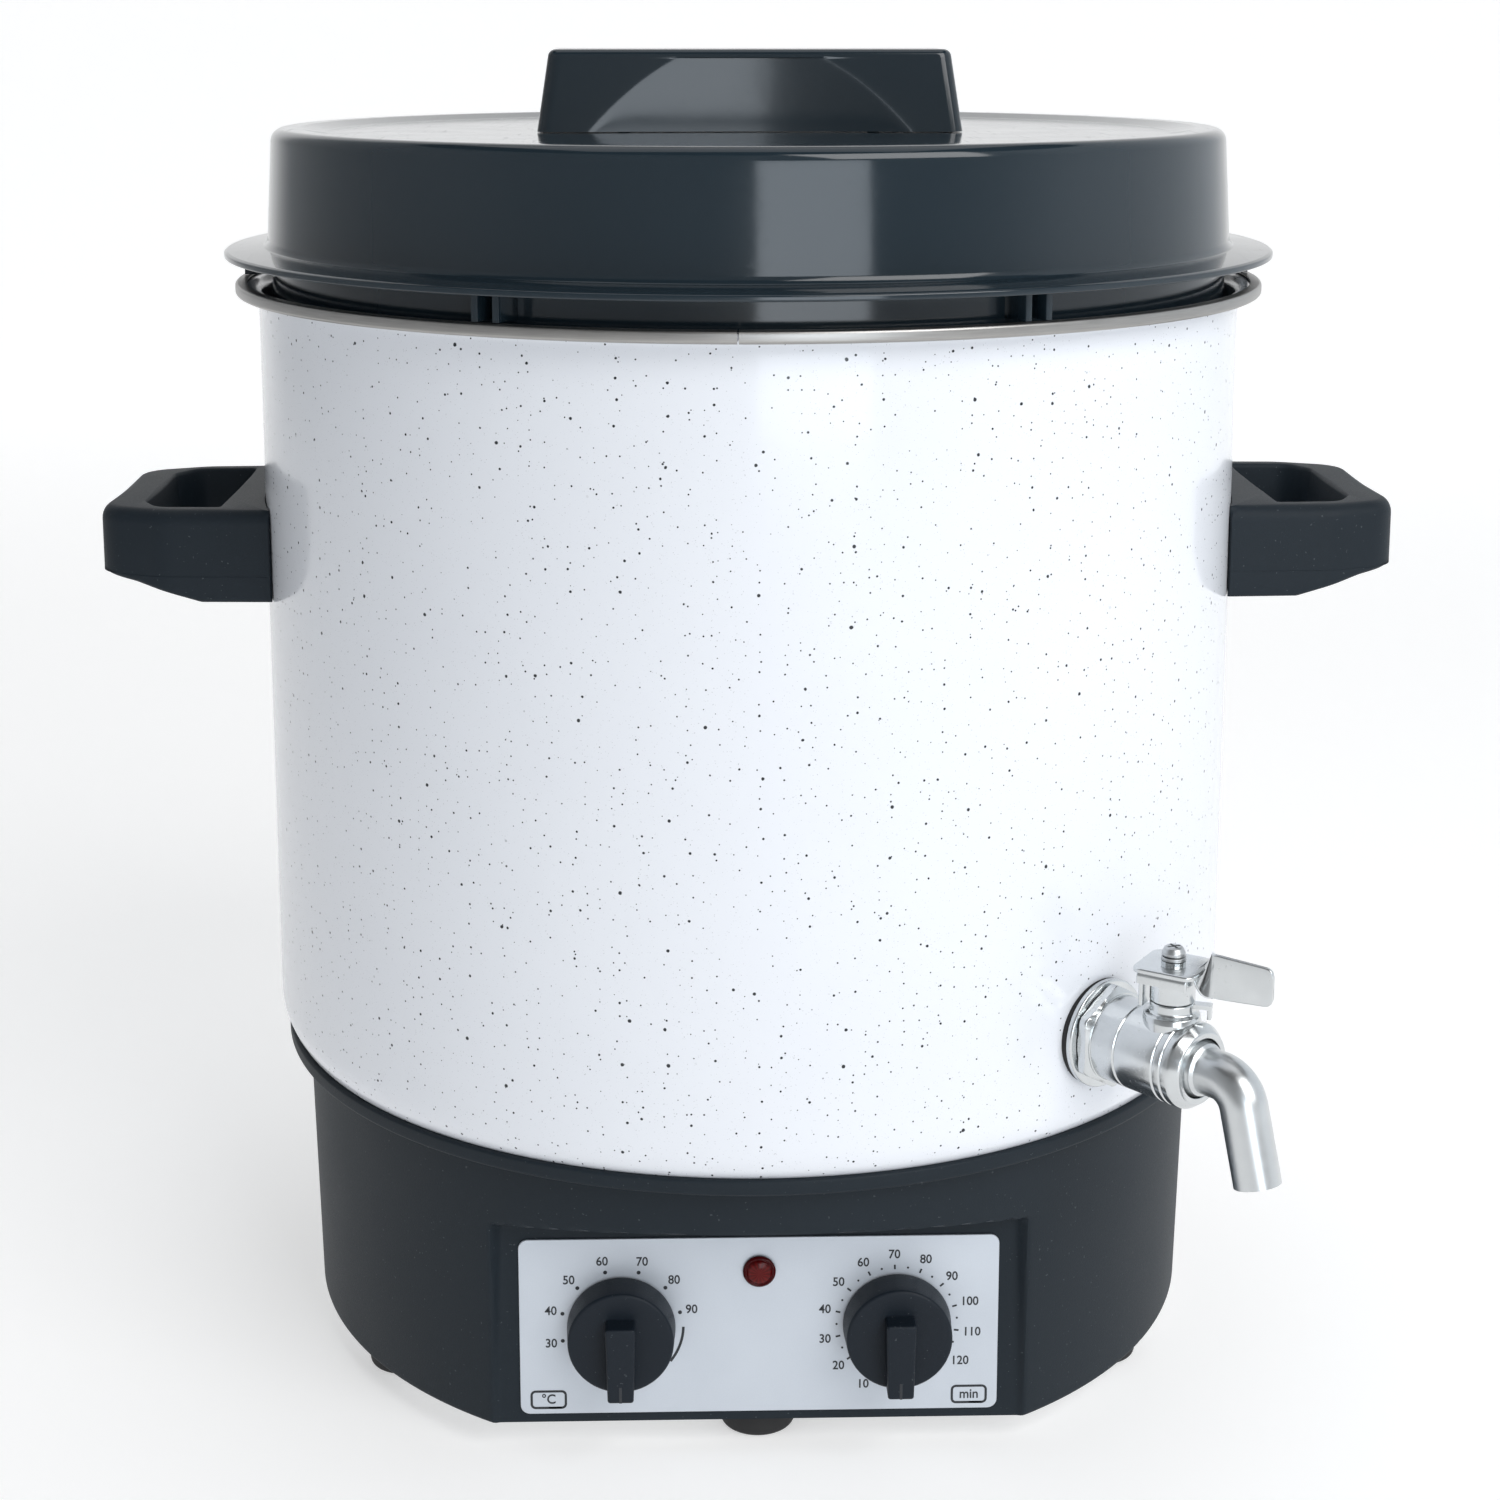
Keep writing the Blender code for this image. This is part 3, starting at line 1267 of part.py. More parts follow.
def make_feet():
    for number, place in enumerate(foot_places()):
        chamfer = FOOT_CHAMFER
        stem_top = BASE_BOTTOM + FOOT_STEM_LENGTH
        profile = [
            (0, stem_top),
            (FOOT_STEM_RADIUS - chamfer, stem_top),
            (FOOT_STEM_RADIUS, stem_top - chamfer),
            (FOOT_STEM_RADIUS, FOOT_HEIGHT),
            (FOOT_RADIUS - chamfer, FOOT_HEIGHT),
            (FOOT_RADIUS, FOOT_HEIGHT - chamfer),
            (FOOT_RADIUS - chamfer, 0),
            (0, 0),
        ]
        foot = turned(f"foot_{number + 1}", profile, SMALL_STEPS, RUBBER)
        foot.location = place
        smooth(foot)


def make_gland():
    """Cable gland at the back. The cable that runs through it is not part of the model."""
    height = BASE_BOTTOM + GLAND_HEIGHT
    wall = wall_radius(height)
    outside = wall + SEAT_GAP
    gland = rod(
        "cable_gland",
        GLAND_RADIUS,
        (0, outside - GLAND_LENGTH, height),
        (0, outside + WELD_OVERLAP, height),
        finish=RUBBER,
    )
    flange = rod(
        "gland_flange",
        GLAND_FLANGE_RADIUS,
        (0, outside, height),
        (0, outside + GLAND_FLANGE_THICKNESS, height),
        end_radius=GLAND_FLANGE_RADIUS - GLAND_FLANGE_THICKNESS / 2,
    )
    collar = rod(
        "gland_collar",
        GLAND_RADIUS,
        (0, outside + GLAND_FLANGE_THICKNESS - WELD_OVERLAP, height),
        (0, outside + 2 * GLAND_FLANGE_THICKNESS, height),
        end_radius=GLAND_BORE_RADIUS + GLAND_FLANGE_THICKNESS / 2,
    )
    bore = rod(
        "gland_bore",
        GLAND_BORE_RADIUS,
        (0, outside - GLAND_LENGTH - CUT_OVERRUN, height),
        (0, outside + 2 * GLAND_FLANGE_THICKNESS + CUT_OVERRUN, height),
    )
    join(gland, flange, collar)
    smooth(cut(gland, bore))


make_base()
make_pot_seal()
make_cover()
make_cover_fasteners()
make_feet()
make_gland()


def facing_front(x, z, y):
    """Turns a shape drawn in XY so that its +Z points to the front, at a place on the panel."""
    return Matrix.Translation((x, y, z)) @ Matrix.Rotation(math.radians(90), 4, "X")


def make_plate():
    place = facing_front(0, PLATE_CENTRE, PANEL_Y - SEAT_GAP)
    face = rounded_rectangle(PLATE_WIDTH / 2, PLATE_HEIGHT / 2, PLATE_CORNER_RADIUS)
    plate = outline("control_plate", [face], 0, PLATE_THICKNESS, place, FASCIA)
    front, back = PLATE_FRONT - CUT_OVERRUN, PANEL_Y + CUT_OVERRUN
    for side in (-1, 1):
        x = side * CONTROL_SPACING / 2
        hole = SHAFT_BUSH_RADIUS + SEAT_GAP
        cut(plate, rod(f"plate_hole_{side}", hole, (x, front, PLATE_CENTRE), (x, back, PLATE_CENTRE)))
    z = PLATE_CENTRE + LAMP_RISE
    cut(plate, rod("plate_lamp_hole", LAMP_BODY_RADIUS + SEAT_GAP, (0, front, z), (0, back, z)))
    smooth(plate)


def make_knob(word, x):
    """Round skirt with a proud pointer bar that narrows to its tip, an index groove and a shaft hub."""
    axis = bpy.data.objects.new(f"{word}_axis", None)
    PARTS.objects.link(axis)
    axis.matrix_world = facing_front(x, PLATE_CENTRE, PLATE_FRONT - KNOB_STANDOFF)
    edge = KNOB_EDGE_RADIUS
    front = KNOB_THICKNESS
    inside = KNOB_RADIUS - KNOB_WALL
    profile = [
        (0, front),
        (KNOB_FRONT_RADIUS - edge, front),
        (KNOB_FRONT_RADIUS, front - edge),
        (KNOB_RADIUS, 0),
        (inside, 0),
        (inside, front - KNOB_WALL),
        (KNOB_HUB_RADIUS, front - KNOB_WALL),
        (KNOB_HUB_RADIUS, front - KNOB_WALL - SHAFT_IN_KNOB),
        (0, front - KNOB_WALL - SHAFT_IN_KNOB),
    ]
    knob = turned(word, profile, MEDIUM_STEPS, KNOB_PLASTIC, axis)
    bar = tapered_block(
        f"{word}_bar",
        (-BAR_WIDTH / 2, -BAR_TIP, BAR_WIDTH / 2, BAR_HEAD, front - WELD_OVERLAP),
        (-BAR_WIDTH / 2, -BAR_TIP, BAR_WIDTH / 2, BAR_HEAD, front + BAR_PROUD),
        parent=axis,
    )
    for vert in bar.data.vertices:
        if vert.co.y < 0:
            vert.co.x = math.copysign(BAR_TIP_WIDTH / 2, vert.co.x)
    bevel(bar, BAR_EDGE_RADIUS, 2, 60)
    index = block(
        f"{word}_index",
        (-INDEX_WIDTH / 2, -BAR_TIP - CUT_OVERRUN, front + BAR_PROUD - INDEX_DEPTH),
        (INDEX_WIDTH / 2, INDEX_LENGTH - BAR_TIP, front + BAR_PROUD + CUT_OVERRUN),
        parent=axis,
    )
    bore_top = front - 2 * KNOB_WALL
    bore = rod(
        f"{word}_bore", SHAFT_RADIUS + SEAT_GAP, (0, 0, -CUT_OVERRUN), (0, 0, bore_top), SCREW_STEPS,
        parent=axis,
    )
    join(knob, bar)
    smooth(cut(knob, index, bore))
    tip = bore_top - SEAT_GAP
    bush = SHAFT_BUSH_LENGTH - KNOB_STANDOFF - PLATE_THICKNESS - 2 * SEAT_GAP - BASE_WALL
    back = -(KNOB_STANDOFF + PLATE_THICKNESS + SEAT_GAP + BASE_WALL + SEAT_GAP)
    shaft = rod(
        word.replace("knob", "shaft"), SHAFT_RADIUS, (0, 0, back - 2 * BRACKET_SHEET), (0, 0, tip),
        SCREW_STEPS, PLATED, axis,
    )
    flat = block(
        f"{word}_flat",
        (-SHAFT_RADIUS - CUT_OVERRUN, SHAFT_RADIUS * SHAFT_FLAT_SHARE, tip - SHAFT_IN_KNOB),
        (SHAFT_RADIUS + CUT_OVERRUN, SHAFT_RADIUS + CUT_OVERRUN, tip + CUT_OVERRUN),
        parent=axis,
    )
    smooth(cut(shaft, flat))


def control_back():
    """The plane behind the housing's panel wall that the bracket stands on."""
    return PANEL_Y + BASE_WALL + SEAT_GAP


def make_bracket():
    """Sheet bracket behind the panel: a flat web with its top and bottom edges folded back."""
    front = control_back()
    low = PLATE_CENTRE - BRACKET_HEIGHT / 2
    high = PLATE_CENTRE + BRACKET_HEIGHT / 2
    half = BRACKET_WIDTH / 2
    back = front + BRACKET_RETURN
    channel = [
        (front, low),
        (back, low),
        (back, low + BRACKET_SHEET),
        (front + BRACKET_SHEET, low + BRACKET_SHEET),
        (front + BRACKET_SHEET, high - BRACKET_SHEET),
        (back, high - BRACKET_SHEET),
        (back, high),
        (front, high),
    ]
    turn = Matrix.Rotation(math.radians(90), 4, "Z") @ Matrix.Rotation(math.radians(90), 4, "X")
    bracket = outline("control_bracket", [channel], -half, half, turn, PLATED)
    ends = (front - CUT_OVERRUN, front + BRACKET_SHEET + CUT_OVERRUN)
    for side in (-1, 1):
        x = side * CONTROL_SPACING / 2
        hole = SHAFT_RADIUS + SEAT_GAP
        cut(bracket, rod(f"web_hole_{side}", hole, (x, ends[0], PLATE_CENTRE), (x, ends[1], PLATE_CENTRE)))
    z = PLATE_CENTRE + LAMP_RISE
    cut(bracket, rod("web_lamp_hole", LAMP_BODY_RADIUS + SEAT_GAP, (0, ends[0], z), (0, ends[1], z)))
    smooth(bracket)


def make_control_bodies():
    """Thermostat in a box with rounded edges, timer in a round can, each with a clearance for its shaft."""
    front = control_back() + BRACKET_SHEET + SEAT_GAP
    x = CONTROL_SPACING / 2
    thermostat = block(
        "thermostat_body",
        (-x - THERMOSTAT_WIDTH / 2, front, PLATE_CENTRE - THERMOSTAT_HEIGHT / 2),
        (-x + THERMOSTAT_WIDTH / 2, front + THERMOSTAT_DEPTH, PLATE_CENTRE + THERMOSTAT_HEIGHT / 2),
        CERAMIC,
    )
    bevel(thermostat, BRACKET_SHEET, 2)
    timer = rod(
        "timer_body", TIMER_RADIUS, (x, front, PLATE_CENTRE), (x, front + TIMER_DEPTH, PLATE_CENTRE),
        MEDIUM_STEPS, PLATED,
    )
    depth = front + 3 * BRACKET_SHEET
    for body, side in ((thermostat, -1), (timer, 1)):
        start, end = (side * x, front - CUT_OVERRUN, PLATE_CENTRE), (side * x, depth, PLATE_CENTRE)
        cut(body, rod(f"shaft_socket_{side}", SHAFT_RADIUS + SEAT_GAP, start, end, SCREW_STEPS))
        smooth(body)


def make_lamp():
    """Red lens whose stem passes through plate, panel and bracket into the lamp holder behind."""
    axis = bpy.data.objects.new("lamp_axis", None)
    PARTS.objects.link(axis)
    axis.matrix_world = facing_front(0, PLATE_CENTRE + LAMP_RISE, PLATE_FRONT - SEAT_GAP)
    through = PLATE_FRONT - SEAT_GAP - control_back() - BRACKET_SHEET
    stem = through - LAMP_HOLDER_LENGTH / 2
    lens_profile = [
        (0, LAMP_PROUD),
        (LAMP_LENS_RADIUS / 2, LAMP_PROUD * 7 / 8),
        (LAMP_LENS_RADIUS, LAMP_PROUD / 2),
        (LAMP_BEZEL_RADIUS, LAMP_PROUD / 4),
        (LAMP_BEZEL_RADIUS, 0),
        (LAMP_BODY_RADIUS, 0),
        (LAMP_BODY_RADIUS, stem),
        (0, stem),
    ]
    smooth(turned("lamp_lens", lens_profile, SMALL_STEPS, LENS, axis))
    holder_front = through - SEAT_GAP
    holder = [
        (LAMP_HOLDER_RADIUS, holder_front),
        (LAMP_HOLDER_RADIUS, holder_front - LAMP_HOLDER_LENGTH),
        (0, holder_front - LAMP_HOLDER_LENGTH),
        (0, stem - SEAT_GAP),
        (LAMP_BODY_RADIUS + SEAT_GAP, stem - SEAT_GAP),
        (LAMP_BODY_RADIUS + SEAT_GAP, holder_front),
    ]
    smooth(turned("lamp_holder", holder, SMALL_STEPS, RUBBER, axis))


make_plate()
make_knob("thermostat_knob", -CONTROL_SPACING / 2)
make_knob("timer_knob", CONTROL_SPACING / 2)
make_bracket()
make_control_bodies()
make_lamp()


def element_middle():
    """Height of the heating element's centre line, pressed up under the pot by its plate."""
    return POT_BOTTOM - SEAT_GAP - ELEMENT_RADIUS


def make_element():
    """Ring-shaped element whose two legs turn in towards the terminals at the back."""
    height = element_middle()
    gap = math.radians(ELEMENT_GAP_DEG)
    turn = ELEMENT_TURN_RADIUS
    count = MEDIUM_STEPS
    sweep = [math.pi + gap / 2 + (2 * math.pi - gap) * k / (count - 1) for k in range(count)]
    ring = [polar(turn, angle, height) for angle in sweep]
    inward = [
        Vector((math.copysign(turn * math.sin(gap / 2), point.x), point.y - ELEMENT_LEG, height))
        for point in (ring[0], ring[-1])
    ]
    smooth(tube("heating_element", [inward[0]] + ring + [inward[1]], ELEMENT_RADIUS, CERAMIC_STEEL, resolution=1))


def make_heat_plate():
    """Steel plate with a channel that holds the element against the pot, open in the middle."""
    top = POT_BOTTOM - SEAT_GAP
    low = element_middle() - ELEMENT_RADIUS - SEAT_GAP - HEAT_PLATE_THICKNESS
    profile = [
        (HEAT_PLATE_RADIUS, low + HEAT_PLATE_THICKNESS + ELEMENT_RADIUS),
        (HEAT_PLATE_RADIUS, low),
        (HEAT_PLATE_HOLE_RADIUS, low),
        (HEAT_PLATE_HOLE_RADIUS, low + HEAT_PLATE_THICKNESS),
        (HEAT_PLATE_RADIUS - HEAT_PLATE_THICKNESS, low + HEAT_PLATE_THICKNESS),
        (HEAT_PLATE_RADIUS - HEAT_PLATE_THICKNESS, low + HEAT_PLATE_THICKNESS + ELEMENT_RADIUS),
    ]
    plate = turned("heat_plate", profile, MEDIUM_STEPS, PLATED)
    smooth(plate)
    return top


def make_clamp():
    """Cross bar on the pot's stud that carries the heat plate, with a nut below it."""
    high = element_middle() - ELEMENT_RADIUS - 2 * SEAT_GAP - HEAT_PLATE_THICKNESS
    low = high - CLAMP_SHEET
    half = HEAT_PLATE_RADIUS - CLAMP_SHEET
    bar = block("heater_clamp", (-half, -CLAMP_WIDTH / 2, low), (half, CLAMP_WIDTH / 2, high), PLATED)
    cut(bar, rod("clamp_hole", STUD_RADIUS + SEAT_GAP, (0, 0, low - CUT_OVERRUN), (0, 0, high + CUT_OVERRUN)))
    smooth(bar)
    nut = hexagon(
        "clamp_nut", NUT_ACROSS_FLATS, (0, 0, low - SEAT_GAP - NUT_HEIGHT), (0, 0, low - SEAT_GAP), PLATED
    )
    smooth(cut(nut, rod("clamp_nut_bore", STUD_RADIUS + SEAT_GAP, (0, 0, 0), (0, 0, BASE_TOP))))


def make_sensor():
    """Thermostat bulb under the pot and its capillary down to the thermostat, as one thick-to-thin tube."""
    height = POT_BOTTOM - SEAT_GAP - BULB_RADIUS
    body_top = PLATE_CENTRE + THERMOSTAT_HEIGHT / 2 + SEAT_GAP
    back = control_back() + BRACKET_SHEET + SEAT_GAP + THERMOSTAT_DEPTH / 2
    x = -CONTROL_SPACING / 2
    end = HEAT_PLATE_HOLE_RADIUS - 2 * BULB_RADIUS
    front = -HEAT_PLATE_HOLE_RADIUS + 5 * BULB_RADIUS
    below_plate = element_middle() - 2 * ELEMENT_RADIUS - HEAT_PLATE_THICKNESS
    side = x / 2
    route = [
        ((side, front + BULB_LENGTH, height), BULB_RADIUS),
        ((side, front + BULB_RADIUS, height), BULB_RADIUS),
        ((side, front, height), CAPILLARY_RADIUS),
        ((side, front - BULB_RADIUS, height - BULB_RADIUS), CAPILLARY_RADIUS),
        ((side, front - 2 * BULB_RADIUS, (height + below_plate) / 2), CAPILLARY_RADIUS),
        ((side, front - 2 * BULB_RADIUS, below_plate - BULB_RADIUS), CAPILLARY_RADIUS),
        ((side, front - 4 * BULB_RADIUS, below_plate - 3 * BULB_RADIUS), CAPILLARY_RADIUS),
        ((x, back + BULB_RADIUS, below_plate - 3 * BULB_RADIUS), CAPILLARY_RADIUS),
        ((x, back, below_plate - 4 * BULB_RADIUS), CAPILLARY_RADIUS),
        ((x, back, body_top), CAPILLARY_RADIUS),
    ]
    made = curve_object("sensor_bulb", [[place for place, radius in route]], "3D", False)
    made.data.bevel_depth = BULB_RADIUS
    made.data.bevel_resolution = 2
    made.data.use_fill_caps = True
    for point, (place, radius) in zip(made.data.splines[0].points, route):
        point.radius = radius / BULB_RADIUS
    smooth(as_mesh(made, STEEL))
    return end


def make_cutout_and_terminals():
    """Safety cut-out against the pot's floor, and the terminal block by the cable gland."""
    top = POT_BOTTOM - SEAT_GAP
    place = HEAT_PLATE_HOLE_RADIUS / 2
    cutout = rod(
        "safety_cutout", CUTOUT_RADIUS, (place, 0, top - CUTOUT_HEIGHT), (place, 0, top), finish=CERAMIC
    )
    bevel(cutout, CLAMP_SHEET / 2, 2)
    smooth(cutout)
    back = wall_radius(BASE_BOTTOM + GLAND_HEIGHT) - BASE_WALL - GLAND_LENGTH - 2 * BASE_WALL
    low = BASE_BOTTOM + COVER_THICKNESS + COVER_BEAD_HEIGHT + SEAT_GAP
    terminals = block(
        "terminal_block",
        (-TERMINAL_LENGTH / 2, back - TERMINAL_DEPTH - TERMINAL_LENGTH / 2, low),
        (TERMINAL_LENGTH / 2, back - TERMINAL_LENGTH / 2, low + TERMINAL_HEIGHT),
        CERAMIC,
    )
    for row in (-1, 0, 1):
        x = row * TERMINAL_LENGTH / 3
        well = rod(
            f"terminal_well_{row}",
            TERMINAL_DEPTH / 6,
            (x, back - TERMINAL_DEPTH / 2 - TERMINAL_LENGTH / 2, low + TERMINAL_HEIGHT / 2),
            (x, back - TERMINAL_DEPTH / 2 - TERMINAL_LENGTH / 2, low + TERMINAL_HEIGHT + CUT_OVERRUN),
            SCREW_STEPS,
        )
        cut(terminals, well)
    smooth(terminals)


CERAMIC_STEEL = ("element_steel", (0.30, 0.29, 0.28), 0.45, 1.0)

make_element()
make_heat_plate()
make_clamp()
make_sensor()
make_cutout_and_terminals()


def tap_frame():
    """An empty on the pot's axis at the tap's height, whose +X runs out along the tap."""
    frame = bpy.data.objects.new("tap_frame", None)
    PARTS.objects.link(frame)
    turn = math.radians(TAP_TURN_DEG - 90)
    frame.matrix_world = Matrix.Translation((0, 0, TAP_HEIGHT)) @ Matrix.Rotation(turn, 4, "Z")
    return frame


TAP = tap_frame()

# Distances out from the pot's axis, in the order in which the tap's pieces are stacked on the wall
OUTSIDE = POT_RADIUS + SEAT_GAP
SEAL_END = OUTSIDE + TAP_SEAL_THICKNESS
FLANGE_START = SEAL_END + SEAT_GAP
FLANGE_END = FLANGE_START + TAP_FLANGE_THICKNESS
HEX_START = FLANGE_END + SEAT_GAP
HEX_END = HEX_START + TAP_HEX_LENGTH
BODY_END = HEX_START + TAP_BODY_LENGTH
BALL_X = POT_RADIUS + BALL_PLACE
INSIDE = POT_RADIUS - POT_WALL - SEAT_GAP


def along_tap(name, profile, steps, finish=None):
    """Turned about the tap's pipe axis. The profile's points are (distance out, radius), outer end first."""
    made = turned(name, [(radius, place) for place, radius in profile], steps, finish, TAP)
    made.rotation_euler = (0, math.radians(90), 0)
    return made


def make_tap_seals():
    bore = TAP_TAIL_RADIUS + SEAT_GAP
    outer = along_tap(
        "tap_seal",
        [(SEAL_END, bore), (SEAL_END, TAP_SEAL_RADIUS), (OUTSIDE - CUT_OVERRUN, TAP_SEAL_RADIUS),
         (OUTSIDE - CUT_OVERRUN, bore)],
        MEDIUM_STEPS, RUBBER,
    )
    reach = (0, 0, -TAP_SEAL_RADIUS - CUT_OVERRUN), (0, 0, TAP_SEAL_RADIUS + CUT_OVERRUN)
    wall = rod("tap_wall_outside", OUTSIDE, *reach, LARGE_STEPS, parent=TAP)
    wall.rotation_euler = (0, 0, math.radians(90 - TAP_TURN_DEG))
    smooth(cut(outer, wall))
    washer = along_tap(
        "tap_flange",
        [(FLANGE_END, bore), (FLANGE_END, TAP_FLANGE_RADIUS - SEAT_GAP), (FLANGE_END - SEAT_GAP, TAP_FLANGE_RADIUS),
         (FLANGE_START, TAP_FLANGE_RADIUS), (FLANGE_START, bore)],
        MEDIUM_STEPS, STEEL,
    )
    smooth(washer)
    inner_end = INSIDE - INNER_SEAL_THICKNESS
    inner = along_tap(
        "tap_inner_seal",
        [(INSIDE + CUT_OVERRUN, bore), (INSIDE + CUT_OVERRUN, TAP_SEAL_RADIUS - CUT_OVERRUN),
         (inner_end, TAP_SEAL_RADIUS - CUT_OVERRUN), (inner_end, bore)],
        MEDIUM_STEPS, RUBBER,
    )
    room = rod("tap_wall_inside", INSIDE, *reach, LARGE_STEPS, parent=TAP)
    room.rotation_euler = (0, 0, math.radians(90 - TAP_TURN_DEG))
    smooth(boolean(inner, room, "INTERSECT"))
    nut_start = inner_end - SEAT_GAP
    nut = hexagon(
        "tap_inner_nut", INNER_NUT_ACROSS_FLATS, (nut_start - INNER_NUT_LENGTH, 0, 0), (nut_start, 0, 0),
        STEEL, TAP,
    )
    nut_bore = rod(
        "tap_nut_bore", bore, (nut_start - INNER_NUT_LENGTH - CUT_OVERRUN, 0, 0),
        (nut_start + CUT_OVERRUN, 0, 0), MEDIUM_STEPS, parent=TAP,
    )
    smooth(cut(nut, nut_bore))


def grooved(start, end, radius, places):
    """Outer line of the tap's barrel with V grooves at places given as distances out, from the far end in."""
    half = TAP_GROOVE_WIDTH / 2
    line = [(end, radius)]
    for place in places:
        line += [(place + half, radius), (place, radius - TAP_GROOVE_DEPTH), (place - half, radius)]
    return line + [(start, radius)]


def make_tap_body():
    """Hex against the flange, grooved barrel, neck for the stem; bored through, with the ball's room."""
    tail_start = INSIDE - INNER_SEAL_THICKNESS - INNER_NUT_LENGTH - TAP_TAIL_LENGTH / 4
    shoulder = BODY_END - TAP_GROOVE_WIDTH * 4
    collar = TAP_COLLAR_RADIUS
    barrel = grooved(
        HEX_END - WELD_OVERLAP, shoulder, TAP_BODY_RADIUS,
        (shoulder - TAP_HEX_LENGTH * 3 / 4, shoulder - TAP_HEX_LENGTH * 3 / 2, HEX_END + TAP_HEX_LENGTH * 2),
    )
    profile = (
        [(BODY_END, 0), (BODY_END, SPOUT_TAIL_RADIUS + SPOUT_WALL), (BODY_END - TAP_GROOVE_WIDTH, collar)]
        + barrel
        + [(HEX_END - WELD_OVERLAP, TAP_TAIL_RADIUS), (tail_start, TAP_TAIL_RADIUS), (tail_start, 0)]
    )
    body = along_tap("tap_body", profile, MEDIUM_STEPS, STEEL)
    hexed = hexagon("tap_hex", TAP_HEX_ACROSS_FLATS, (HEX_START, 0, 0), (HEX_END, 0, 0), parent=TAP)
    neck_foot = NECK_RADIUS + CUT_OVERRUN
    neck_low = TAP_BODY_RADIUS - NECK_RADIUS / 2
    neck_flare = TAP_BODY_RADIUS + CUT_OVERRUN
    neck = turned(
        "tap_neck",
        [(0, NECK_HEIGHT), (NECK_RADIUS, NECK_HEIGHT), (NECK_RADIUS, neck_flare), (neck_foot, neck_low), (0, neck_low)],
        SMALL_STEPS, parent=TAP,
    )
    neck.location = (BALL_X, 0, 0)
    bore = rod(
        "tap_bore", TAP_BORE_RADIUS, (tail_start - CUT_OVERRUN, 0, 0), (BALL_X, 0, 0), parent=TAP
    )
    room_start = BALL_X - BALL_ROOM_HALF
    room = rod(
        "ball_room", TAP_CAVITY_RADIUS, (room_start, 0, 0), (BODY_END + CUT_OVERRUN, 0, 0), MEDIUM_STEPS // 2,
        parent=TAP,
    )
    stem_hole = rod(
        "stem_hole", STEM_RADIUS + SEAT_GAP, (BALL_X, 0, 0), (BALL_X, 0, NECK_HEIGHT + CUT_OVERRUN), parent=TAP
    )
    join(body, hexed, neck)
    smooth(cut(body, bore, room, stem_hole))


def seat_profile(side):
    """Half section of a seat ring whose inner face follows the ball."""
    clear = BALL_RADIUS + SEAT_GAP
    far = BALL_ROOM_HALF - SEAT_GAP
    outer = TAP_CAVITY_RADIUS - SEAT_GAP
    inner = TAP_BORE_RADIUS
    touch = [inner + (BALL_RADIUS * 9 / 10 - inner) * k / (ARC_POINTS - 1) for k in range(ARC_POINTS)]
    line = [(math.sqrt(clear**2 - radius**2), radius) for radius in touch]
    points = [(far, inner), (far, outer), (line[-1][0], outer)] + list(reversed(line))
    if side < 0:
        return [(BALL_X - place, radius) for place, radius in reversed(points)]
    return [(BALL_X + place, radius) for place, radius in points]


def make_ball_and_seats():
    for side, word in ((-1, "inner"), (1, "outer")):
        smooth(along_tap(f"tap_seat_{word}", seat_profile(side), SMALL_STEPS, PTFE))
    shape = bmesh.new()
    bmesh.ops.create_uvsphere(shape, u_segments=SMALL_STEPS, v_segments=SCREW_STEPS, radius=BALL_RADIUS)
    ball = add_mesh("tap_ball", shape, STEEL, TAP)
    ball.location = (BALL_X, 0, 0)
    bore = rod(
        "ball_bore", TAP_BORE_RADIUS, (BALL_X - BALL_RADIUS * 2, 0, 0), (BALL_X + BALL_RADIUS * 2, 0, 0),
        parent=TAP,
    )
    slot = block(
        "ball_slot",
        (BALL_X - BALL_RADIUS, -STEM_TONGUE / 2 - SEAT_GAP, BALL_RADIUS - STEM_TONGUE_DEPTH - SEAT_GAP),
        (BALL_X + BALL_RADIUS, STEM_TONGUE / 2 + SEAT_GAP, BALL_RADIUS + CUT_OVERRUN),
        parent=TAP,
    )
    smooth(cut(ball, bore, slot))


def spout_route(start_extra=0.0, end_extra=0.0):
    """Straight out of the body, round a bend, then down at a slant. Points on the tube's centre line."""
    start = BODY_END + SEAT_GAP
    turn = math.radians(90 - SPOUT_SLANT_DEG)
    bend_x = start + SPOUT_RUN
    points = [Vector((start - start_extra, 0, 0))]
    for k in range(SPOUT_BEND_POINTS):
        angle = turn * k / (SPOUT_BEND_POINTS - 1)
        points.append(
            Vector((
                bend_x + SPOUT_BEND_RADIUS * math.sin(angle), 0,
                -SPOUT_BEND_RADIUS * (1 - math.cos(angle)),
            ))
        )
    down = Vector((math.cos(turn), 0, -math.sin(turn)))
    length = (SPOUT_DROP + points[-1].z) / math.sin(turn)
    points.append(points[-1] + down * (length + end_extra))
    return points


def make_spout():
    outside = tube("tap_spout", spout_route(), SPOUT_RADIUS, STEEL, TAP, 4)
    tail = rod(
        "spout_tail", SPOUT_TAIL_RADIUS, (BODY_END - SPOUT_TAIL_LENGTH, 0, 0),
        (BODY_END + SEAT_GAP + WELD_OVERLAP, 0, 0), MEDIUM_STEPS // 2, parent=TAP,
    )
    inside = tube("spout_bore", spout_route(SPOUT_TAIL_LENGTH + CUT_OVERRUN, CUT_OVERRUN),
                  SPOUT_RADIUS - SPOUT_WALL, None, TAP, 3)
    join(outside, tail)
    smooth(cut(outside, inside))


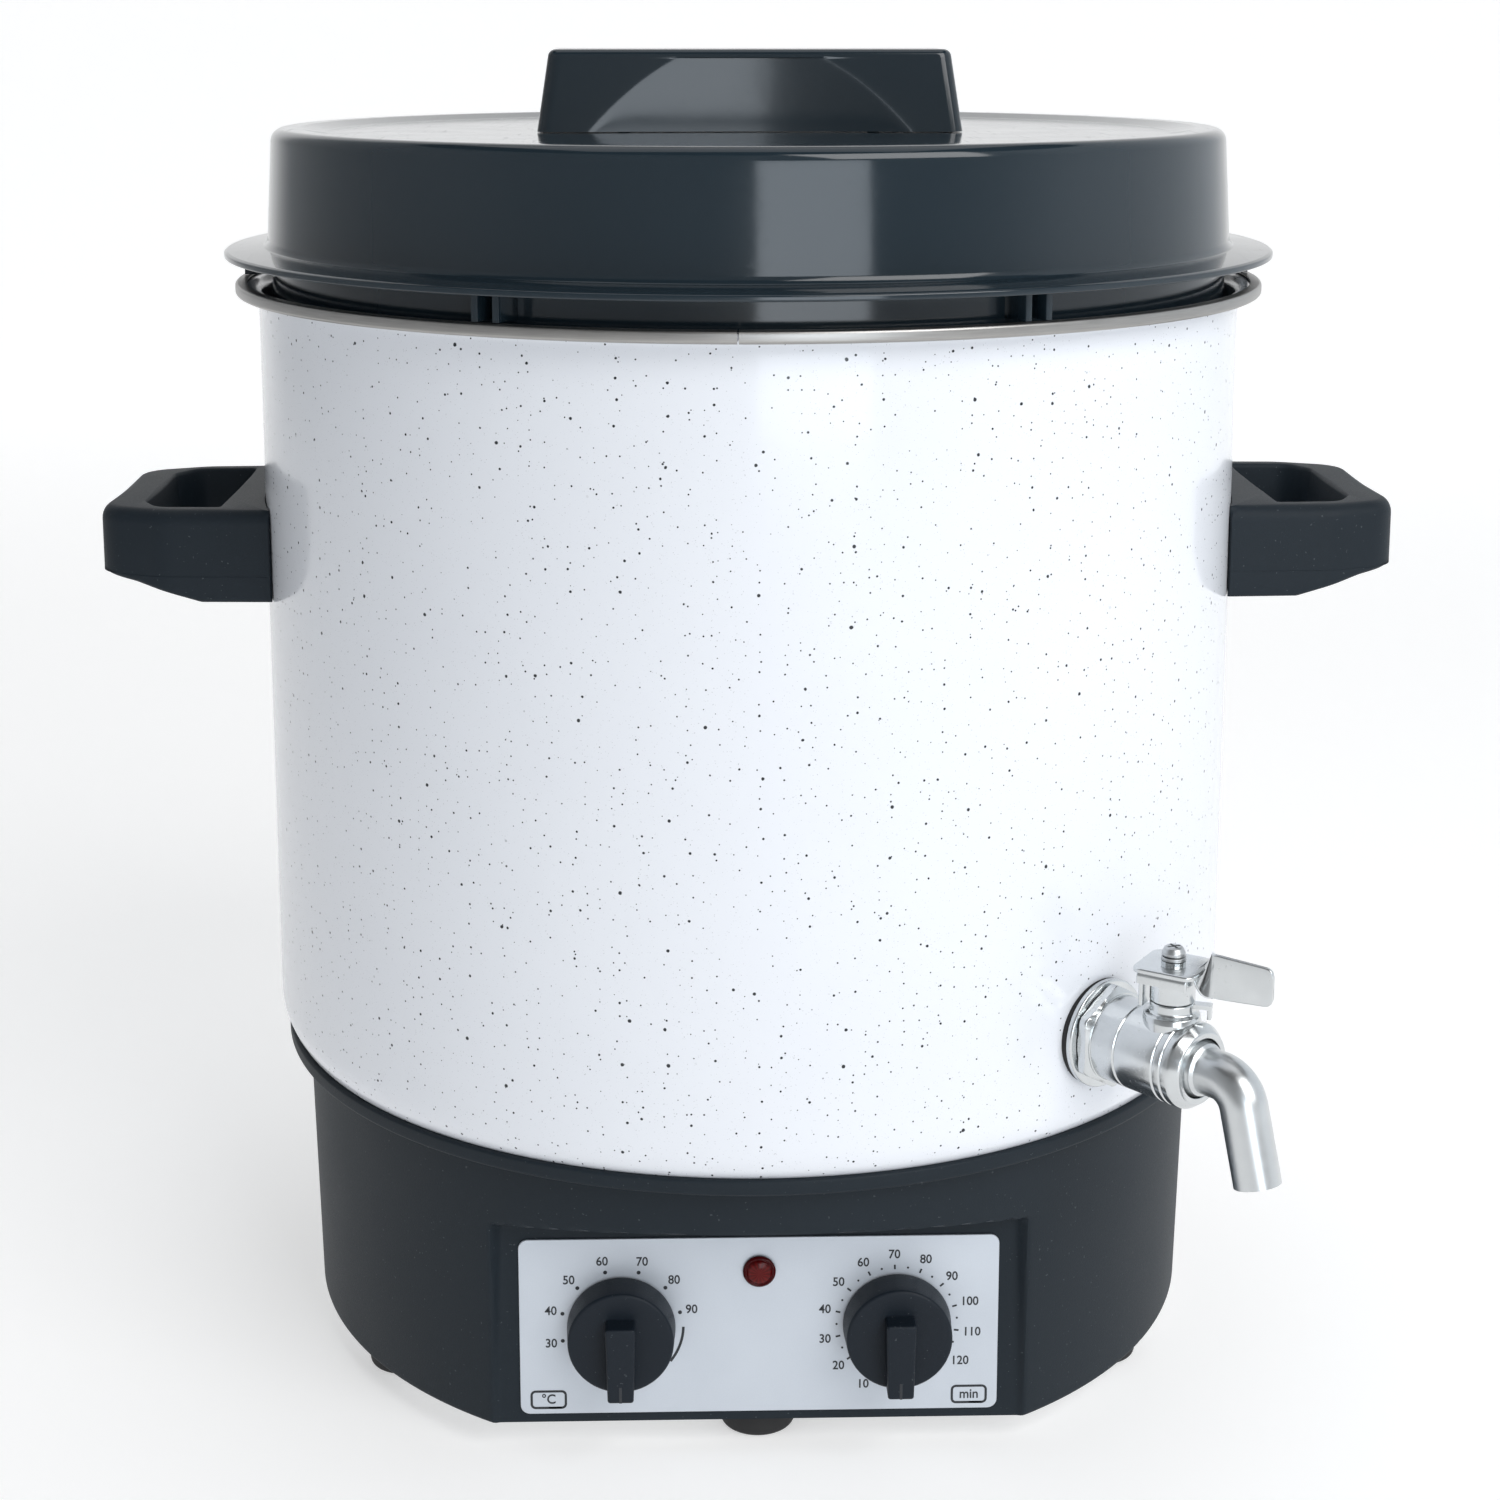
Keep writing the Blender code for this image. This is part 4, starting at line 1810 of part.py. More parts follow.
def make_stem_and_nut():
    top = NECK_HEIGHT + SEAT_GAP + PACKING_NUT_HEIGHT + STEM_TOP
    stem = rod("tap_stem", STEM_RADIUS, (0, 0, BALL_RADIUS + SEAT_GAP), (0, 0, top), finish=STEEL, parent=TAP)
    stem.location = (0, 0, 0)
    tongue = block(
        "stem_tongue",
        (-STEM_RADIUS * 3 / 4, -STEM_TONGUE / 2, BALL_RADIUS - STEM_TONGUE_DEPTH),
        (STEM_RADIUS * 3 / 4, STEM_TONGUE / 2, BALL_RADIUS + SEAT_GAP + WELD_OVERLAP),
        parent=TAP,
    )
    screw_hole = rod(
        "stem_screw_hole", LEVER_SCREW_RADIUS + SEAT_GAP, (0, 0, top - LEVER_SCREW_LENGTH), (0, 0, top + CUT_OVERRUN),
        SCREW_STEPS, parent=TAP,
    )
    for piece in (stem, tongue, screw_hole):
        piece.data.transform(Matrix.Translation((BALL_X, 0, 0)))
    join(stem, tongue)
    smooth(cut(stem, screw_hole))
    start = NECK_HEIGHT + SEAT_GAP
    crown = start + PACKING_NUT_HEIGHT - PACKING_NUT_CROWN
    nut = turned(
        "tap_packing_nut",
        [
            (STEM_RADIUS + SEAT_GAP, start + PACKING_NUT_HEIGHT),
            (PACKING_NUT_RADIUS, start + PACKING_NUT_HEIGHT),
            (PACKING_NUT_RADIUS, crown),
            (PACKING_NUT_RADIUS - SEAT_GAP * 3, crown),
            (PACKING_NUT_RADIUS - SEAT_GAP * 3, start),
            (STEM_RADIUS + SEAT_GAP, start),
        ],
        SMALL_STEPS, STEEL, TAP,
    )
    nut.location = (BALL_X, 0, 0)
    smooth(nut)


def blade_plan():
    """Outline of the upright blade: corners of a tapering plate, each rounded by an arc."""
    round_by = LEVER_END_ROUND
    centres = (
        (LEVER_REACH - round_by, LEVER_END_LOW + round_by), (LEVER_REACH - round_by, LEVER_END_HIGH - round_by),
        (LEVER_BLADE_START + round_by, LEVER_ROOT_HIGH - round_by),
        (LEVER_BLADE_START + round_by, LEVER_ROOT_LOW + round_by),
    )
    plan = []
    for quarter, (x, y) in enumerate(centres):
        for k in range(ARC_POINTS):
            angle = math.radians(90) * (quarter - 1 + k / (ARC_POINTS - 1))
            plan.append((x + round_by * math.cos(angle), y + round_by * math.sin(angle)))
    return plan


def make_lever():
    """Stamped lever: cap plate over the stem, a skirt and a stop on its edge, and an upright blade."""
    low = NECK_HEIGHT + 2 * SEAT_GAP + PACKING_NUT_HEIGHT
    axis = bpy.data.objects.new("lever_axis", None)
    PARTS.objects.link(axis)
    axis.parent = TAP
    axis.location = (BALL_X, 0, low)
    axis.rotation_euler = (0, 0, math.radians(LEVER_TURN_DEG))
    sheet = LEVER_SHEET
    wide = LEVER_HALF_WIDTH
    cap = outline("tap_lever", [rounded_rectangle(wide, wide, wide / 3)], 0, sheet, None, STEEL, axis)
    skirt = block(
        "lever_skirt", (-wide, -wide, sheet - WELD_OVERLAP - LEVER_SKIRT), (wide, sheet - wide, sheet - WELD_OVERLAP),
        parent=axis,
    )
    stop = block(
        "lever_stop",
        (-wide, -LEVER_STOP_WIDTH / 2, sheet - WELD_OVERLAP - LEVER_STOP_DROP),
        (sheet - wide, LEVER_STOP_WIDTH / 2, sheet - WELD_OVERLAP),
        parent=axis,
    )
    blade = outline("lever_blade", [blade_plan()], -sheet / 2, sheet / 2, None, None, axis)
    blade.data.transform(Matrix.Rotation(math.radians(90), 4, "X"))
    neck = outline(
        "lever_neck",
        [[(wide - sheet, -wide / 2), (LEVER_BLADE_START + sheet, -sheet / 2),
          (LEVER_BLADE_START + sheet, sheet / 2), (wide - sheet, wide / 2)]],
        0, sheet, None, None, axis,
    )
    hole = rod(
        "lever_hole", STEM_RADIUS + SEAT_GAP, (0, 0, -CUT_OVERRUN), (0, 0, sheet + CUT_OVERRUN), parent=axis
    )
    join(cap, skirt, stop, neck, blade)
    smooth(cut(cap, hole))
    stem_top = NECK_HEIGHT + SEAT_GAP + PACKING_NUT_HEIGHT + STEM_TOP - low
    washer_low = stem_top + SEAT_GAP
    washer = turned(
        "tap_spring_washer",
        [
            (LEVER_SCREW_RADIUS + SEAT_GAP, washer_low + SPRING_WASHER_THICKNESS),
            (SPRING_WASHER_RADIUS, washer_low + SPRING_WASHER_THICKNESS),
            (SPRING_WASHER_RADIUS, washer_low),
            (LEVER_SCREW_RADIUS + SEAT_GAP, washer_low),
        ],
        SMALL_STEPS, STEEL, axis,
    )
    smooth(washer)
    seat = washer_low + SPRING_WASHER_THICKNESS + SEAT_GAP
    screw_shape(
        "tap_lever_screw",
        seat=(0, 0, seat),
        tip=(0, 0, seat - LEVER_SCREW_LENGTH),
        radius=LEVER_SCREW_RADIUS,
        head_radius=LEVER_SCREW_HEAD_RADIUS,
        head_height=LEVER_SCREW_HEAD_HEIGHT,
        finish=STEEL,
        parent=axis,
    )


make_tap_seals()
make_tap_body()
make_ball_and_seats()
make_spout()
make_stem_and_nut()
make_lever()
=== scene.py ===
import json
import math

import bpy
import numpy as np
from mathutils import Matrix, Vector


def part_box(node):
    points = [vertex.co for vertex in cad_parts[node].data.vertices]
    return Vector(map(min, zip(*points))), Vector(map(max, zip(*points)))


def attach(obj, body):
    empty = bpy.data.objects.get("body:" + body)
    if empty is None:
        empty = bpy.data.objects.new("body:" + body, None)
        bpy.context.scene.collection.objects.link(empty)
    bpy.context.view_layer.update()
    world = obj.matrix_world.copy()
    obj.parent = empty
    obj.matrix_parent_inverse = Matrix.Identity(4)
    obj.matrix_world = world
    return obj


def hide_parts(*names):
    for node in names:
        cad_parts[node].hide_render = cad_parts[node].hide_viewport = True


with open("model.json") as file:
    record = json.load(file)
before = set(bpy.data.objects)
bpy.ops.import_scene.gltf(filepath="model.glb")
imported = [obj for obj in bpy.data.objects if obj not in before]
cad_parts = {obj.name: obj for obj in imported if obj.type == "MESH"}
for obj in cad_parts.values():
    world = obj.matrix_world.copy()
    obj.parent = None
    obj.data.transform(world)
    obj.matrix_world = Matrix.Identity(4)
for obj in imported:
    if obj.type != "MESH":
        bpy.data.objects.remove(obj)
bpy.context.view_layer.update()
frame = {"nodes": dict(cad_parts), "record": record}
print("frame loaded:", len(frame["nodes"]), "nodes")

tau = 2 * math.pi


# A piece's sizes: a dictionary whose values are read as p.name. Lengths are in metres.
class Sizes(dict):
    __getattr__ = dict.__getitem__


# A new object of the data, in the scene.
def linked(name, data):
    made = bpy.data.objects.new(name, data)
    bpy.context.scene.collection.objects.link(made)
    return made


# Camera: a little above the lid, looking down. Focal and sensor in mm, angles in degrees.
view = Sizes(
    focal=62.58, sensor=36.0, distance=0.9465, height=0.475, pitch=10.594, yaw=1.5415, shiftX=0.00105,
    shiftY=-0.16,
)


# It stands at distance (-sin yaw, -cos yaw) from the axis and looks back at it, pitched down.
def placeCamera(v):
    data = bpy.data.cameras.new("camera")
    data.lens, data.sensor_width = v.focal, v.sensor
    data.shift_x, data.shift_y = v.shiftX, v.shiftY
    camera = linked("camera", data)
    yaw = math.radians(v.yaw)
    camera.location = (-v.distance * math.sin(yaw), -v.distance * math.cos(yaw), v.height)
    camera.rotation_euler = (math.radians(90 - v.pitch), 0, -yaw)
    bpy.context.scene.camera = camera


placeCamera(view)

# Surfaces. One is a pair: an array of points, and a list of arrays of faces, one for each number of corners.

nearlyStraight = 1e-3  # radians; a slighter bend isn't rounded
mostOfRun = 0.49  # the share of a run that an arc may take


# From a to b by a share: a + (b - a) share.
def mix(a, b, share):
    return a + (b - a) * share


# Flat points turned anticlockwise: x' = x cos a - y sin a, y' = x sin a + y cos a.
def spin(points, angle):
    x, y = points[..., 0], points[..., 1]
    return np.stack([x * np.cos(angle) - y * np.sin(angle), x * np.sin(angle) + y * np.cos(angle)], -1)


# A line of straight runs with rounded corners. A corner is (x, y, radius), or (x, y) where it stays sharp.
# Each arc touches both runs at radius / tan(half the angle between them) from the corner.
def arcPath(corners, count=8):
    points = [np.array(corner[:2], float) for corner in corners]
    radii = [corner[2] if len(corner) > 2 else 0 for corner in corners]
    out = [points[0]]
    for before, corner, after, radius in zip(points, points[1:], points[2:], radii[1:-1]):
        toBefore, toAfter = before - corner, after - corner
        lengthBefore, lengthAfter = np.linalg.norm(toBefore), np.linalg.norm(toAfter)
        toBefore, toAfter = toBefore / lengthBefore, toAfter / lengthAfter
        half = 0.5 * math.acos(np.clip(toBefore @ toAfter, -1, 1))
        if radius <= 0 or half > math.pi / 2 - nearlyStraight:
            out.append(corner)
            continue
        reach = min(radius / math.tan(half), mostOfRun * lengthBefore, mostOfRun * lengthAfter)
        middle = toBefore + toAfter
        centre = corner + middle / np.linalg.norm(middle) * (reach * math.tan(half)) / math.sin(half)
        start, end = corner + toBefore * reach - centre, corner + toAfter * reach - centre
        turn = math.atan2(start[0] * end[1] - start[1] * end[0], start @ end) * np.arange(count + 1) / count
        out.extend(centre + spin(start, turn))
    out.append(points[-1])
    return np.array(out)


# The same for a closed loop, which starts half way along its last run.
def loopPath(corners, count=8):
    middle = tuple((np.array(corners[-1][:2], float) + np.array(corners[0][:2], float)) / 2)
    return arcPath([middle, *corners, middle], count)[:-1]


# A rectangle with rounded corners, 2 halfX by 2 halfY.
def roundedBox(halfX, halfY, corner, count=8):
    ends = (halfX, -halfY), (halfX, halfY), (-halfX, halfY), (-halfX, -halfY)
    return loopPath([(*end, corner) for end in ends], count)


# The section of a ring from inner to outer radius, low to high, with its four corner radii.
def ringSection(inner, outer, low, high, corners, count=5):
    ends = (inner, low), (outer, low), (outer, high), (inner, high)
    return loopPath([(*end, corner) for end, corner in zip(ends, corners)], count)


# The line with every run longer than step split into equal shares.
def finer(path, step):
    out = [path[:1]]
    for a, b in zip(path[:-1], path[1:]):
        n = max(1, int(np.ceil(np.linalg.norm(b - a) / step)))
        out.append(a + (b - a) * (np.arange(1, n + 1) / n)[:, None])
    return np.concatenate(out)


# A flat outline at one height.
def level(loop, z):
    return np.column_stack([loop, np.full(len(loop), z)])


# Four-sided faces of a grid of points that are numbered row by row, where each row is a closed loop.
def gridFaces(rows, columns, wrap=False):
    i, j = np.arange(rows if wrap else rows - 1)[:, None], np.arange(columns)[None, :]
    ni, nj = (i + 1) % rows, (j + 1) % columns
    corners = [i * columns + j, ni * columns + j, ni * columns + nj, i * columns + nj]
    return np.stack(corners, -1).reshape(-1, 4)


# Faces that look outwards: turned round if the sum of a . (b x c) over all their triangles is below zero.
def outward(points, groups):
    volume = 0.0
    for faces in groups:
        for k in range(1, faces.shape[1] - 1):
            a, b, c = points[faces[:, 0]], points[faces[:, k]], points[faces[:, k + 1]]
            volume += np.einsum("ij,ij->", a, np.cross(b, c))
    return points, groups if volume > 0 else [faces[:, ::-1] for faces in groups]


# Several surfaces as one.
def gather(*surfaces):
    starts = np.cumsum([0] + [len(points) for points, _ in surfaces])
    return (np.concatenate([points for points, _ in surfaces]),
            [faces + start for start, (_, groups) in zip(starts, surfaces) for faces in groups])


# A closed surface from rows of points, each a closed loop. The end rows are filled, or joined by wrap.
def tube(grid, wrap=False):
    rows, columns = grid.shape[:2]
    groups = [gridFaces(rows, columns, wrap)]
    if not wrap:
        groups.append(np.stack([np.arange(columns), (rows - 1) * columns + np.arange(columns)[::-1]]))
    return outward(grid.reshape(-1, 3), groups)


# A profile of (radius, height) turned about Z: x = r sin a, y = -r cos a. An end on the axis is one point.
def turned(path, steps=256, bulge=None):
    angle = np.arange(steps) * tau / steps
    r, z = (np.repeat(column[:, None], steps, 1) for column in path.T)
    if bulge:
        r = r + bulge(r, angle)
    grid = np.stack([r * np.sin(angle), -r * np.cos(angle), z], -1)
    first, last = path[[0, -1], 0] < 1e-7
    if not (first or last):
        return tube(grid, True)
    body = grid[int(first): len(grid) - int(last)]
    points, groups = [body.reshape(-1, 3)], [gridFaces(len(body), steps)]
    here, end = np.arange(steps), (len(body) - 1) * steps
    there = (here + 1) % steps
    for used, row, a, b in ((first, grid[0], here, there), (last, grid[-1], there + end, here + end)):
        if used:
            groups.append(np.column_stack([np.full(steps, sum(map(len, points))), a, b]))
            points.append(row[:1])
    return outward(np.concatenate(points), groups)


# A surface moved by a frame: its x, y and z run along the three directions, from the origin given.
def laid(surface, origin, xWay, yWay, zWay):
    points, groups = surface
    return outward(points @ np.array([xWay, yWay, zWay], float) + np.array(origin, float), groups)


# An outline carried from low to high, its edges rolled over by rows that step in by roll (1 - cos t) while
# they rise by roll sin t. shape(inset) gives the outline at each step in.
def rolled(shape, low, high, rollLow, rollHigh, count=5):
    sines, cosines = (f(np.linspace(0, math.pi / 2, count + 1)) for f in (np.sin, np.cos))
    steps = list(zip(rollLow * (1 - sines), low + rollLow * (1 - cosines))) if rollLow else [(0.0, low)]
    steps += zip(rollHigh * (1 - cosines), high - rollHigh * (1 - sines)) if rollHigh else [(0.0, high)]
    return tube(np.stack([level(shape(inset), z) for inset, z in steps]))


# The same for a rounded rectangle.
def rolledBox(halfX, halfY, corner, *heights):
    return rolled(lambda inset: roundedBox(halfX - inset, halfY - inset, corner), *heights)


# A block with rounded upright edges, from its low to its high corner, turned about Z.
def block(low, high, turn=0.0, edge=0.0004):
    low, high = np.array(low), np.array(high)
    half, middle = (high - low) / 2, (high + low) / 2
    loop = spin(roundedBox(half[0], half[1], edge, 3) + middle[:2], turn)
    return tube(np.stack([level(loop, z) for z in (low[2], high[2])]))


def meshOf(name, surface):
    points, groups = surface
    mesh = bpy.data.meshes.new(name)
    mesh.from_pydata(points.tolist(), [], [face for faces in groups for face in faces.tolist()])
    return mesh


# A mesh object at the origin that rides on a body and stands for CAD nodes, in its slot's look or the coat's.
def piece(name, surface, stands, body="cooker", slot="polished_steel", sharp=30, coat=None):
    mesh = meshOf(name, surface)
    mesh.update()
    mesh.polygons.foreach_set("use_smooth", np.ones(len(mesh.polygons), bool))
    mesh.set_sharp_from_angle(angle=math.radians(sharp))
    made = linked(name, mesh)
    mesh.materials.append(look[coat or slot])
    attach(made, body)
    if stands:
        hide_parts(*stands)
    return made


# The mesh of an object with its modifiers, or of a text, as a mesh of its own.
def settled(made):
    bpy.context.view_layer.update()
    return bpy.data.meshes.new_from_object(made.evaluated_get(bpy.context.evaluated_depsgraph_get()))


# Cuts closed surfaces out of a piece.
def carve(target, surfaces, sharp=32):
    cutter = linked("cutter", meshOf("cutter", gather(*surfaces)))
    change = target.modifiers.new("holes", "BOOLEAN")
    change.operation, change.solver, change.object = "DIFFERENCE", "EXACT", cutter
    made = settled(target)
    target.modifiers.clear()
    target.data = made
    bpy.data.objects.remove(cutter)
    made.set_sharp_from_angle(angle=math.radians(sharp))


# A round hole of a radius and length from a point along a way.
def bit(at, way, radius, length):
    way = np.array(way, float)
    side = np.cross(way, (0, 0, 1)) if abs(way[2]) < 0.9 else np.array([1.0, 0.0, 0.0])
    path = np.array([(0, 0), (radius, 0), (radius, length), (0, length)])
    return laid(turned(path, 48), at, side, np.cross(way, side), way)


# Finishes. Every pattern is measured in metres on the real object.


# Sets a node's socket, named with _ for a space or numbered i0, i1, to a constant or another node's result.
def put(tree, node, key, value):
    numbered = key[0] == "i" and key[1:].isdigit()
    socket = node.inputs[int(key[1:]) if numbered else key.replace("_", " ")]
    if isinstance(value, Val):
        tree.links.new(value.socket, socket)
    elif isinstance(value, tuple) and socket.type == "RGBA":
        socket.default_value = (*value[:3], 1)
    else:
        socket.default_value = value


# A socket's value in a material. Python's operators on it add Math nodes.
class Val:
    def __init__(self, tree, socket):
        self.tree, self.socket = tree, socket

    # Any other node: its settings first, then its sockets. out picks the result, or results.
    def node(self, kind, settings=None, out=0, **inputs):
        made = self.tree.nodes.new(kind)
        for key, value in (settings or {}).items():
            setattr(made, key, value)
        for key, value in inputs.items():
            put(self.tree, made, key, value)
        results = [Val(self.tree, made.outputs[o]) for o in (out if isinstance(out, tuple) else (out,))]
        return results if isinstance(out, tuple) else results[0]

    def maths(self, word, other=None):
        others = {} if other is None else {"i1": other}
        return self.node("ShaderNodeMath", {"operation": word}, i0=self, **others)

    def swapped(self, word, other):
        return self.node("ShaderNodeMath", {"operation": word}, i0=other, i1=self)

    def __add__(self, other): return self.maths("ADD", other)
    def __sub__(self, other): return self.maths("SUBTRACT", other)
    def __rsub__(self, other): return self.swapped("SUBTRACT", other)
    def __mul__(self, other): return self.maths("MULTIPLY", other)
    def __truediv__(self, other): return self.maths("DIVIDE", other)
    def __pow__(self, other): return self.maths("POWER", other)
    __radd__, __rmul__ = __add__, __mul__

    # 0 below low, 1 above high, smooth between. With low above high it falls instead.
    def step(self, low, high):
        falls = low > high
        return self.node("ShaderNodeMapRange", {"interpolation_type": "SMOOTHSTEP"}, Value=self,
                         From_Min=min(low, high), From_Max=max(low, high),
                         To_Min=float(falls), To_Max=float(not falls))

    # The first colour where this is 0, the second where it is 1.
    def blend(self, low, high):
        return self.node("ShaderNodeMix", {"data_type": "RGBA"}, 2, i0=self, i6=low, i7=high)


# A material. make(place) gives what varies over the surface; the fixed sockets are plain numbers.
def finish(name, make, **fixed):
    material = bpy.data.materials.new(name)
    material.use_nodes = True
    tree = material.node_tree
    shader = tree.nodes["Principled BSDF"]
    place = Val(tree, tree.nodes.new("ShaderNodeTexCoord").outputs["Object"])
    for key, value in {**fixed, **make(place)}.items():
        if key == "bump":
            value = place.node("ShaderNodeBump", Height=value[0], Strength=value[1], Distance=value[2])
            key = "Normal"
        put(tree, shader, key, value)
    return material


# What varies over a surface: its colour, its roughness, and a bump as (height, strength, depth).
def skin(colour, rough, *bump):
    return {"Base_Color": colour, "Roughness": rough, **({"bump": bump} if bump else {})}


# Noise whose features are about size metres; stretch squeezes it along x, y and z.
def noise(place, size, detail=3.0, rough=0.5, stretch=None):
    if stretch:
        place = place.node("ShaderNodeMapping", {"vector_type": "POINT"}, Vector=place, Scale=stretch)
    return place.node("ShaderNodeTexNoise", {"noise_dimensions": "3D"}, 0, Vector=place, Scale=1 / size,
                      Detail=detail, Roughness=rough)


# The x, y and z of a place, or the three channels of a colour.
def split(place):
    return place.node("ShaderNodeSeparateXYZ", None, (0, 1, 2), Vector=place)


enamelLook = Sizes(
    white=(0.795, 0.815, 0.855), shade=(0.765, 0.785, 0.83), speck=(0.02, 0.022, 0.026), radius=0.175,
    layers=[(0.014, 0.00064, 0.7), (0.0074, 0.00046, 0.66), (0.0042, 0.00031, 0.66)],
)


# White enamel with three sizes of dark specks. A speck is the middle of a cell of the unrolled wall, and the
# cell's own random numbers say whether it holds one and how wide: width = speck (0.5 + 0.5 u).
def enamel(place):
    e = enamelLook
    x, y, z = split(place)
    unrolled = x.maths("ARCTAN2", 0.0 - y) * e.radius
    wobble = noise(place, 0.001, 2.0) - 0.5
    spots = noise(place, 0.0005, 1.0).step(0.71, 0.75) * 0.3  # pale dust between them
    for number, (cell, speck, share) in enumerate(e.layers):
        at = place.node("ShaderNodeCombineXYZ", X=unrolled + 0.37 * number, Y=z + 0.11 * number)
        distance, tag = place.node("ShaderNodeTexVoronoi", {"voronoi_dimensions": "2D", "feature": "F1"},
                                   ("Distance", "Color"), Vector=at, Scale=1 / cell)
        holds, wide, _ = split(tag)
        edge = (distance * cell + wobble * (speck * 0.7)) / (wide * (0.5 * speck) + 0.5 * speck)
        spots = spots.maths("MAXIMUM", edge.step(1.2, 0.8) * holds.step(share, share + 0.01))
    tint = noise(place, 0.05, 2.0).blend(e.white, e.shade)
    return skin(spots.blend(tint, e.speck), 0.13 + noise(place, 0.03) * 0.07,
                noise(place, 0.006, 2.0), 0.06, 0.0005)


# Dark plastic polished in its mould: faint flow lines, haze and hairline scratches in the gloss.
def glossPlastic(place):
    haze, flow = noise(place, 0.02, 4.0), noise(place, 0.09, 2.0)
    hair = noise(place, 0.0016, 2.0, 0.5, (1.0, 0.06, 1.0)).step(0.62, 0.74)
    return skin(flow.blend((0.0112, 0.0205, 0.0285), (0.0156, 0.0262, 0.0352)),
                0.075 + haze * 0.06 + hair * 0.05, noise(place, 0.012, 2.0), 0.03, 0.0006)


# Charcoal plastic: a fine eroded grain, a soft mottle, and pale dust caught in the grain.
def grainPlastic(dark, light, rough, size):
    def make(place):
        grain, mottle = noise(place, size, 3.0, 0.62), noise(place, 0.035, 3.0)
        dust = noise(place, 0.0011, 1.0).step(0.742, 0.765) * 0.4
        return skin(dust.blend((grain * 0.6 + mottle * 0.4).blend(dark, light), (0.1, 0.11, 0.12)),
                    rough + (grain - 0.5) * 0.22 + (mottle - 0.5) * 0.08, grain, 0.32, 0.00018)
    return make


# One noise that shades the colour from dark to light and the roughness up by vary, and a bump of that noise
# or of a finer one. pattern and fine are what noise takes.
def mottled(pattern, dark, light, rough, vary, strength, depth, fine=None):
    def make(place):
        field = noise(place, *pattern)
        height = noise(place, *fine) if fine else field
        return skin(field.blend(dark, light), rough + field * vary, height, strength, depth)
    return make


# Cast and tumbled steel: long soft waves, small pits, a slight change of shade.
def polished(place):
    wave, pits = noise(place, 0.01, 2.0), noise(place, 0.001, 2.0).step(0.66, 0.74)
    return skin(wave.blend((0.56, 0.58, 0.59), (0.71, 0.73, 0.735)), 0.14 + wave * 0.1 + pits * 0.12,
                wave - pits * 0.15, 0.12, 0.0005)


# The same steel brushed soft, as the spout is.
def satin(place):
    return {**polished(place), "Roughness": 0.25 + noise(place, 0.01, 2.0) * 0.12}


# Silver printed foil: a fine metal grain under a slow cloud.
def fascia(place):
    grain, cloud = noise(place, 0.00045, 2.0, 0.7), noise(place, 0.02, 3.0)
    return skin((grain * 0.55 + cloud * 0.45).blend((0.53, 0.57, 0.625), (0.65, 0.69, 0.745)),
                0.42 + grain * 0.14, grain, 0.1, 0.00008)


lampHeight = 0.0643  # of the lamp's middle above the table


# Clear red plastic over a fluted reflector, which is not built. Its flutes are painted as spokes of brighter
# and darker red, a painted reflection of the light they would catch. Towards the rim the spokes fade out into
# a plain darker red.
def lens(place):
    x, _, z = split(place)
    up = z - lampHeight
    # painted reflection: the spokes and the brighter red in the middle stand in for light off the reflector's
    # flutes
    spokeReflection = (x.maths("ARCTAN2", up) * 14.0).maths("SINE") * 0.25 + 0.25
    reflectedRed = (spokeReflection + noise(place, 0.002) * 0.5).blend((0.042, 0.001, 0.001), (0.155, 0.0036, 0.0033))
    rim = ((x * x + up * up) ** 0.5).step(0.003, 0.0048)
    return skin(rim.blend(reflectedRed, (0.05, 0.001, 0.002)), 0.12 + noise(place, 0.004) * 0.08)


# Printed ink, a little uneven.
def printed(place):
    return skin(noise(place, 0.0004).blend((0.01, 0.012, 0.016), (0.026, 0.029, 0.035)),
                0.5 + noise(place, 0.001) * 0.1)


charcoal = grainPlastic((0.0066, 0.0118, 0.0172), (0.0132, 0.0202, 0.0275), 0.55, 0.00055)
darker = grainPlastic((0.0046, 0.0084, 0.014), (0.0096, 0.015, 0.0225), 0.45, 0.0004)
rubber = mottled((0.006,), (0.008, 0.008, 0.009), (0.018, 0.018, 0.019), 0.62, 0.2, 0.25, 0.0001,
                 (0.0009, 2.0))
# Rolled steel: fine lines run round the pot, so the noise is squeezed along its height.
rolledSteel = mottled((0.0004, 3.0, 0.5, (0.03, 0.03, 1.0)), (0.3, 0.29, 0.28), (0.44, 0.43, 0.415),
                      0.28, 0.16, 0.12, 0.0001)
zinc = mottled((0.004, 4.0), (0.46, 0.475, 0.49), (0.6, 0.61, 0.61), 0.28, 0.2, 0.12, 0.0002)
ceramic = mottled((0.003,), (0.68, 0.67, 0.63), (0.78, 0.77, 0.74), 0.42, 0.2, 0.1, 0.0002)
# The heater's sheath, browned and blued where it has been hot.
sheath = mottled((0.012,), (0.13, 0.12, 0.12), (0.26, 0.24, 0.22), 0.38, 0.15, 0.1, 0.0001, (0.001,))

metal, dull = {"Metallic": 1.0}, {"Specular_IOR_Level": 0.22}
looks = {
    "white_enamel": (enamel, {"Specular_IOR_Level": 0.35, "Coat_Weight": 0.22, "Coat_Roughness": 0.05}),
    "glossy_lid_plastic": (glossPlastic, {}), "charcoal_plastic": (charcoal, dull),
    "knob_plastic": (darker, dull), "black_rubber": (rubber, {}), "polished_steel": (polished, metal),
    "satin_steel": (satin, metal), "brushed_steel": (rolledSteel, metal), "zinc_plated_steel": (zinc, metal),
    "silver_fascia": (fascia, {"Metallic": 0.45}), "red_lens": (lens, {"Specular_IOR_Level": 0.2}),
    "white_ptfe": (ceramic, {}), "white_ceramic": (ceramic, {}), "element_steel": (sheath, metal),
    "ink": (printed, {}),
}
look = {name: finish(name, make, **fixed) for name, (make, fixed) in looks.items()}
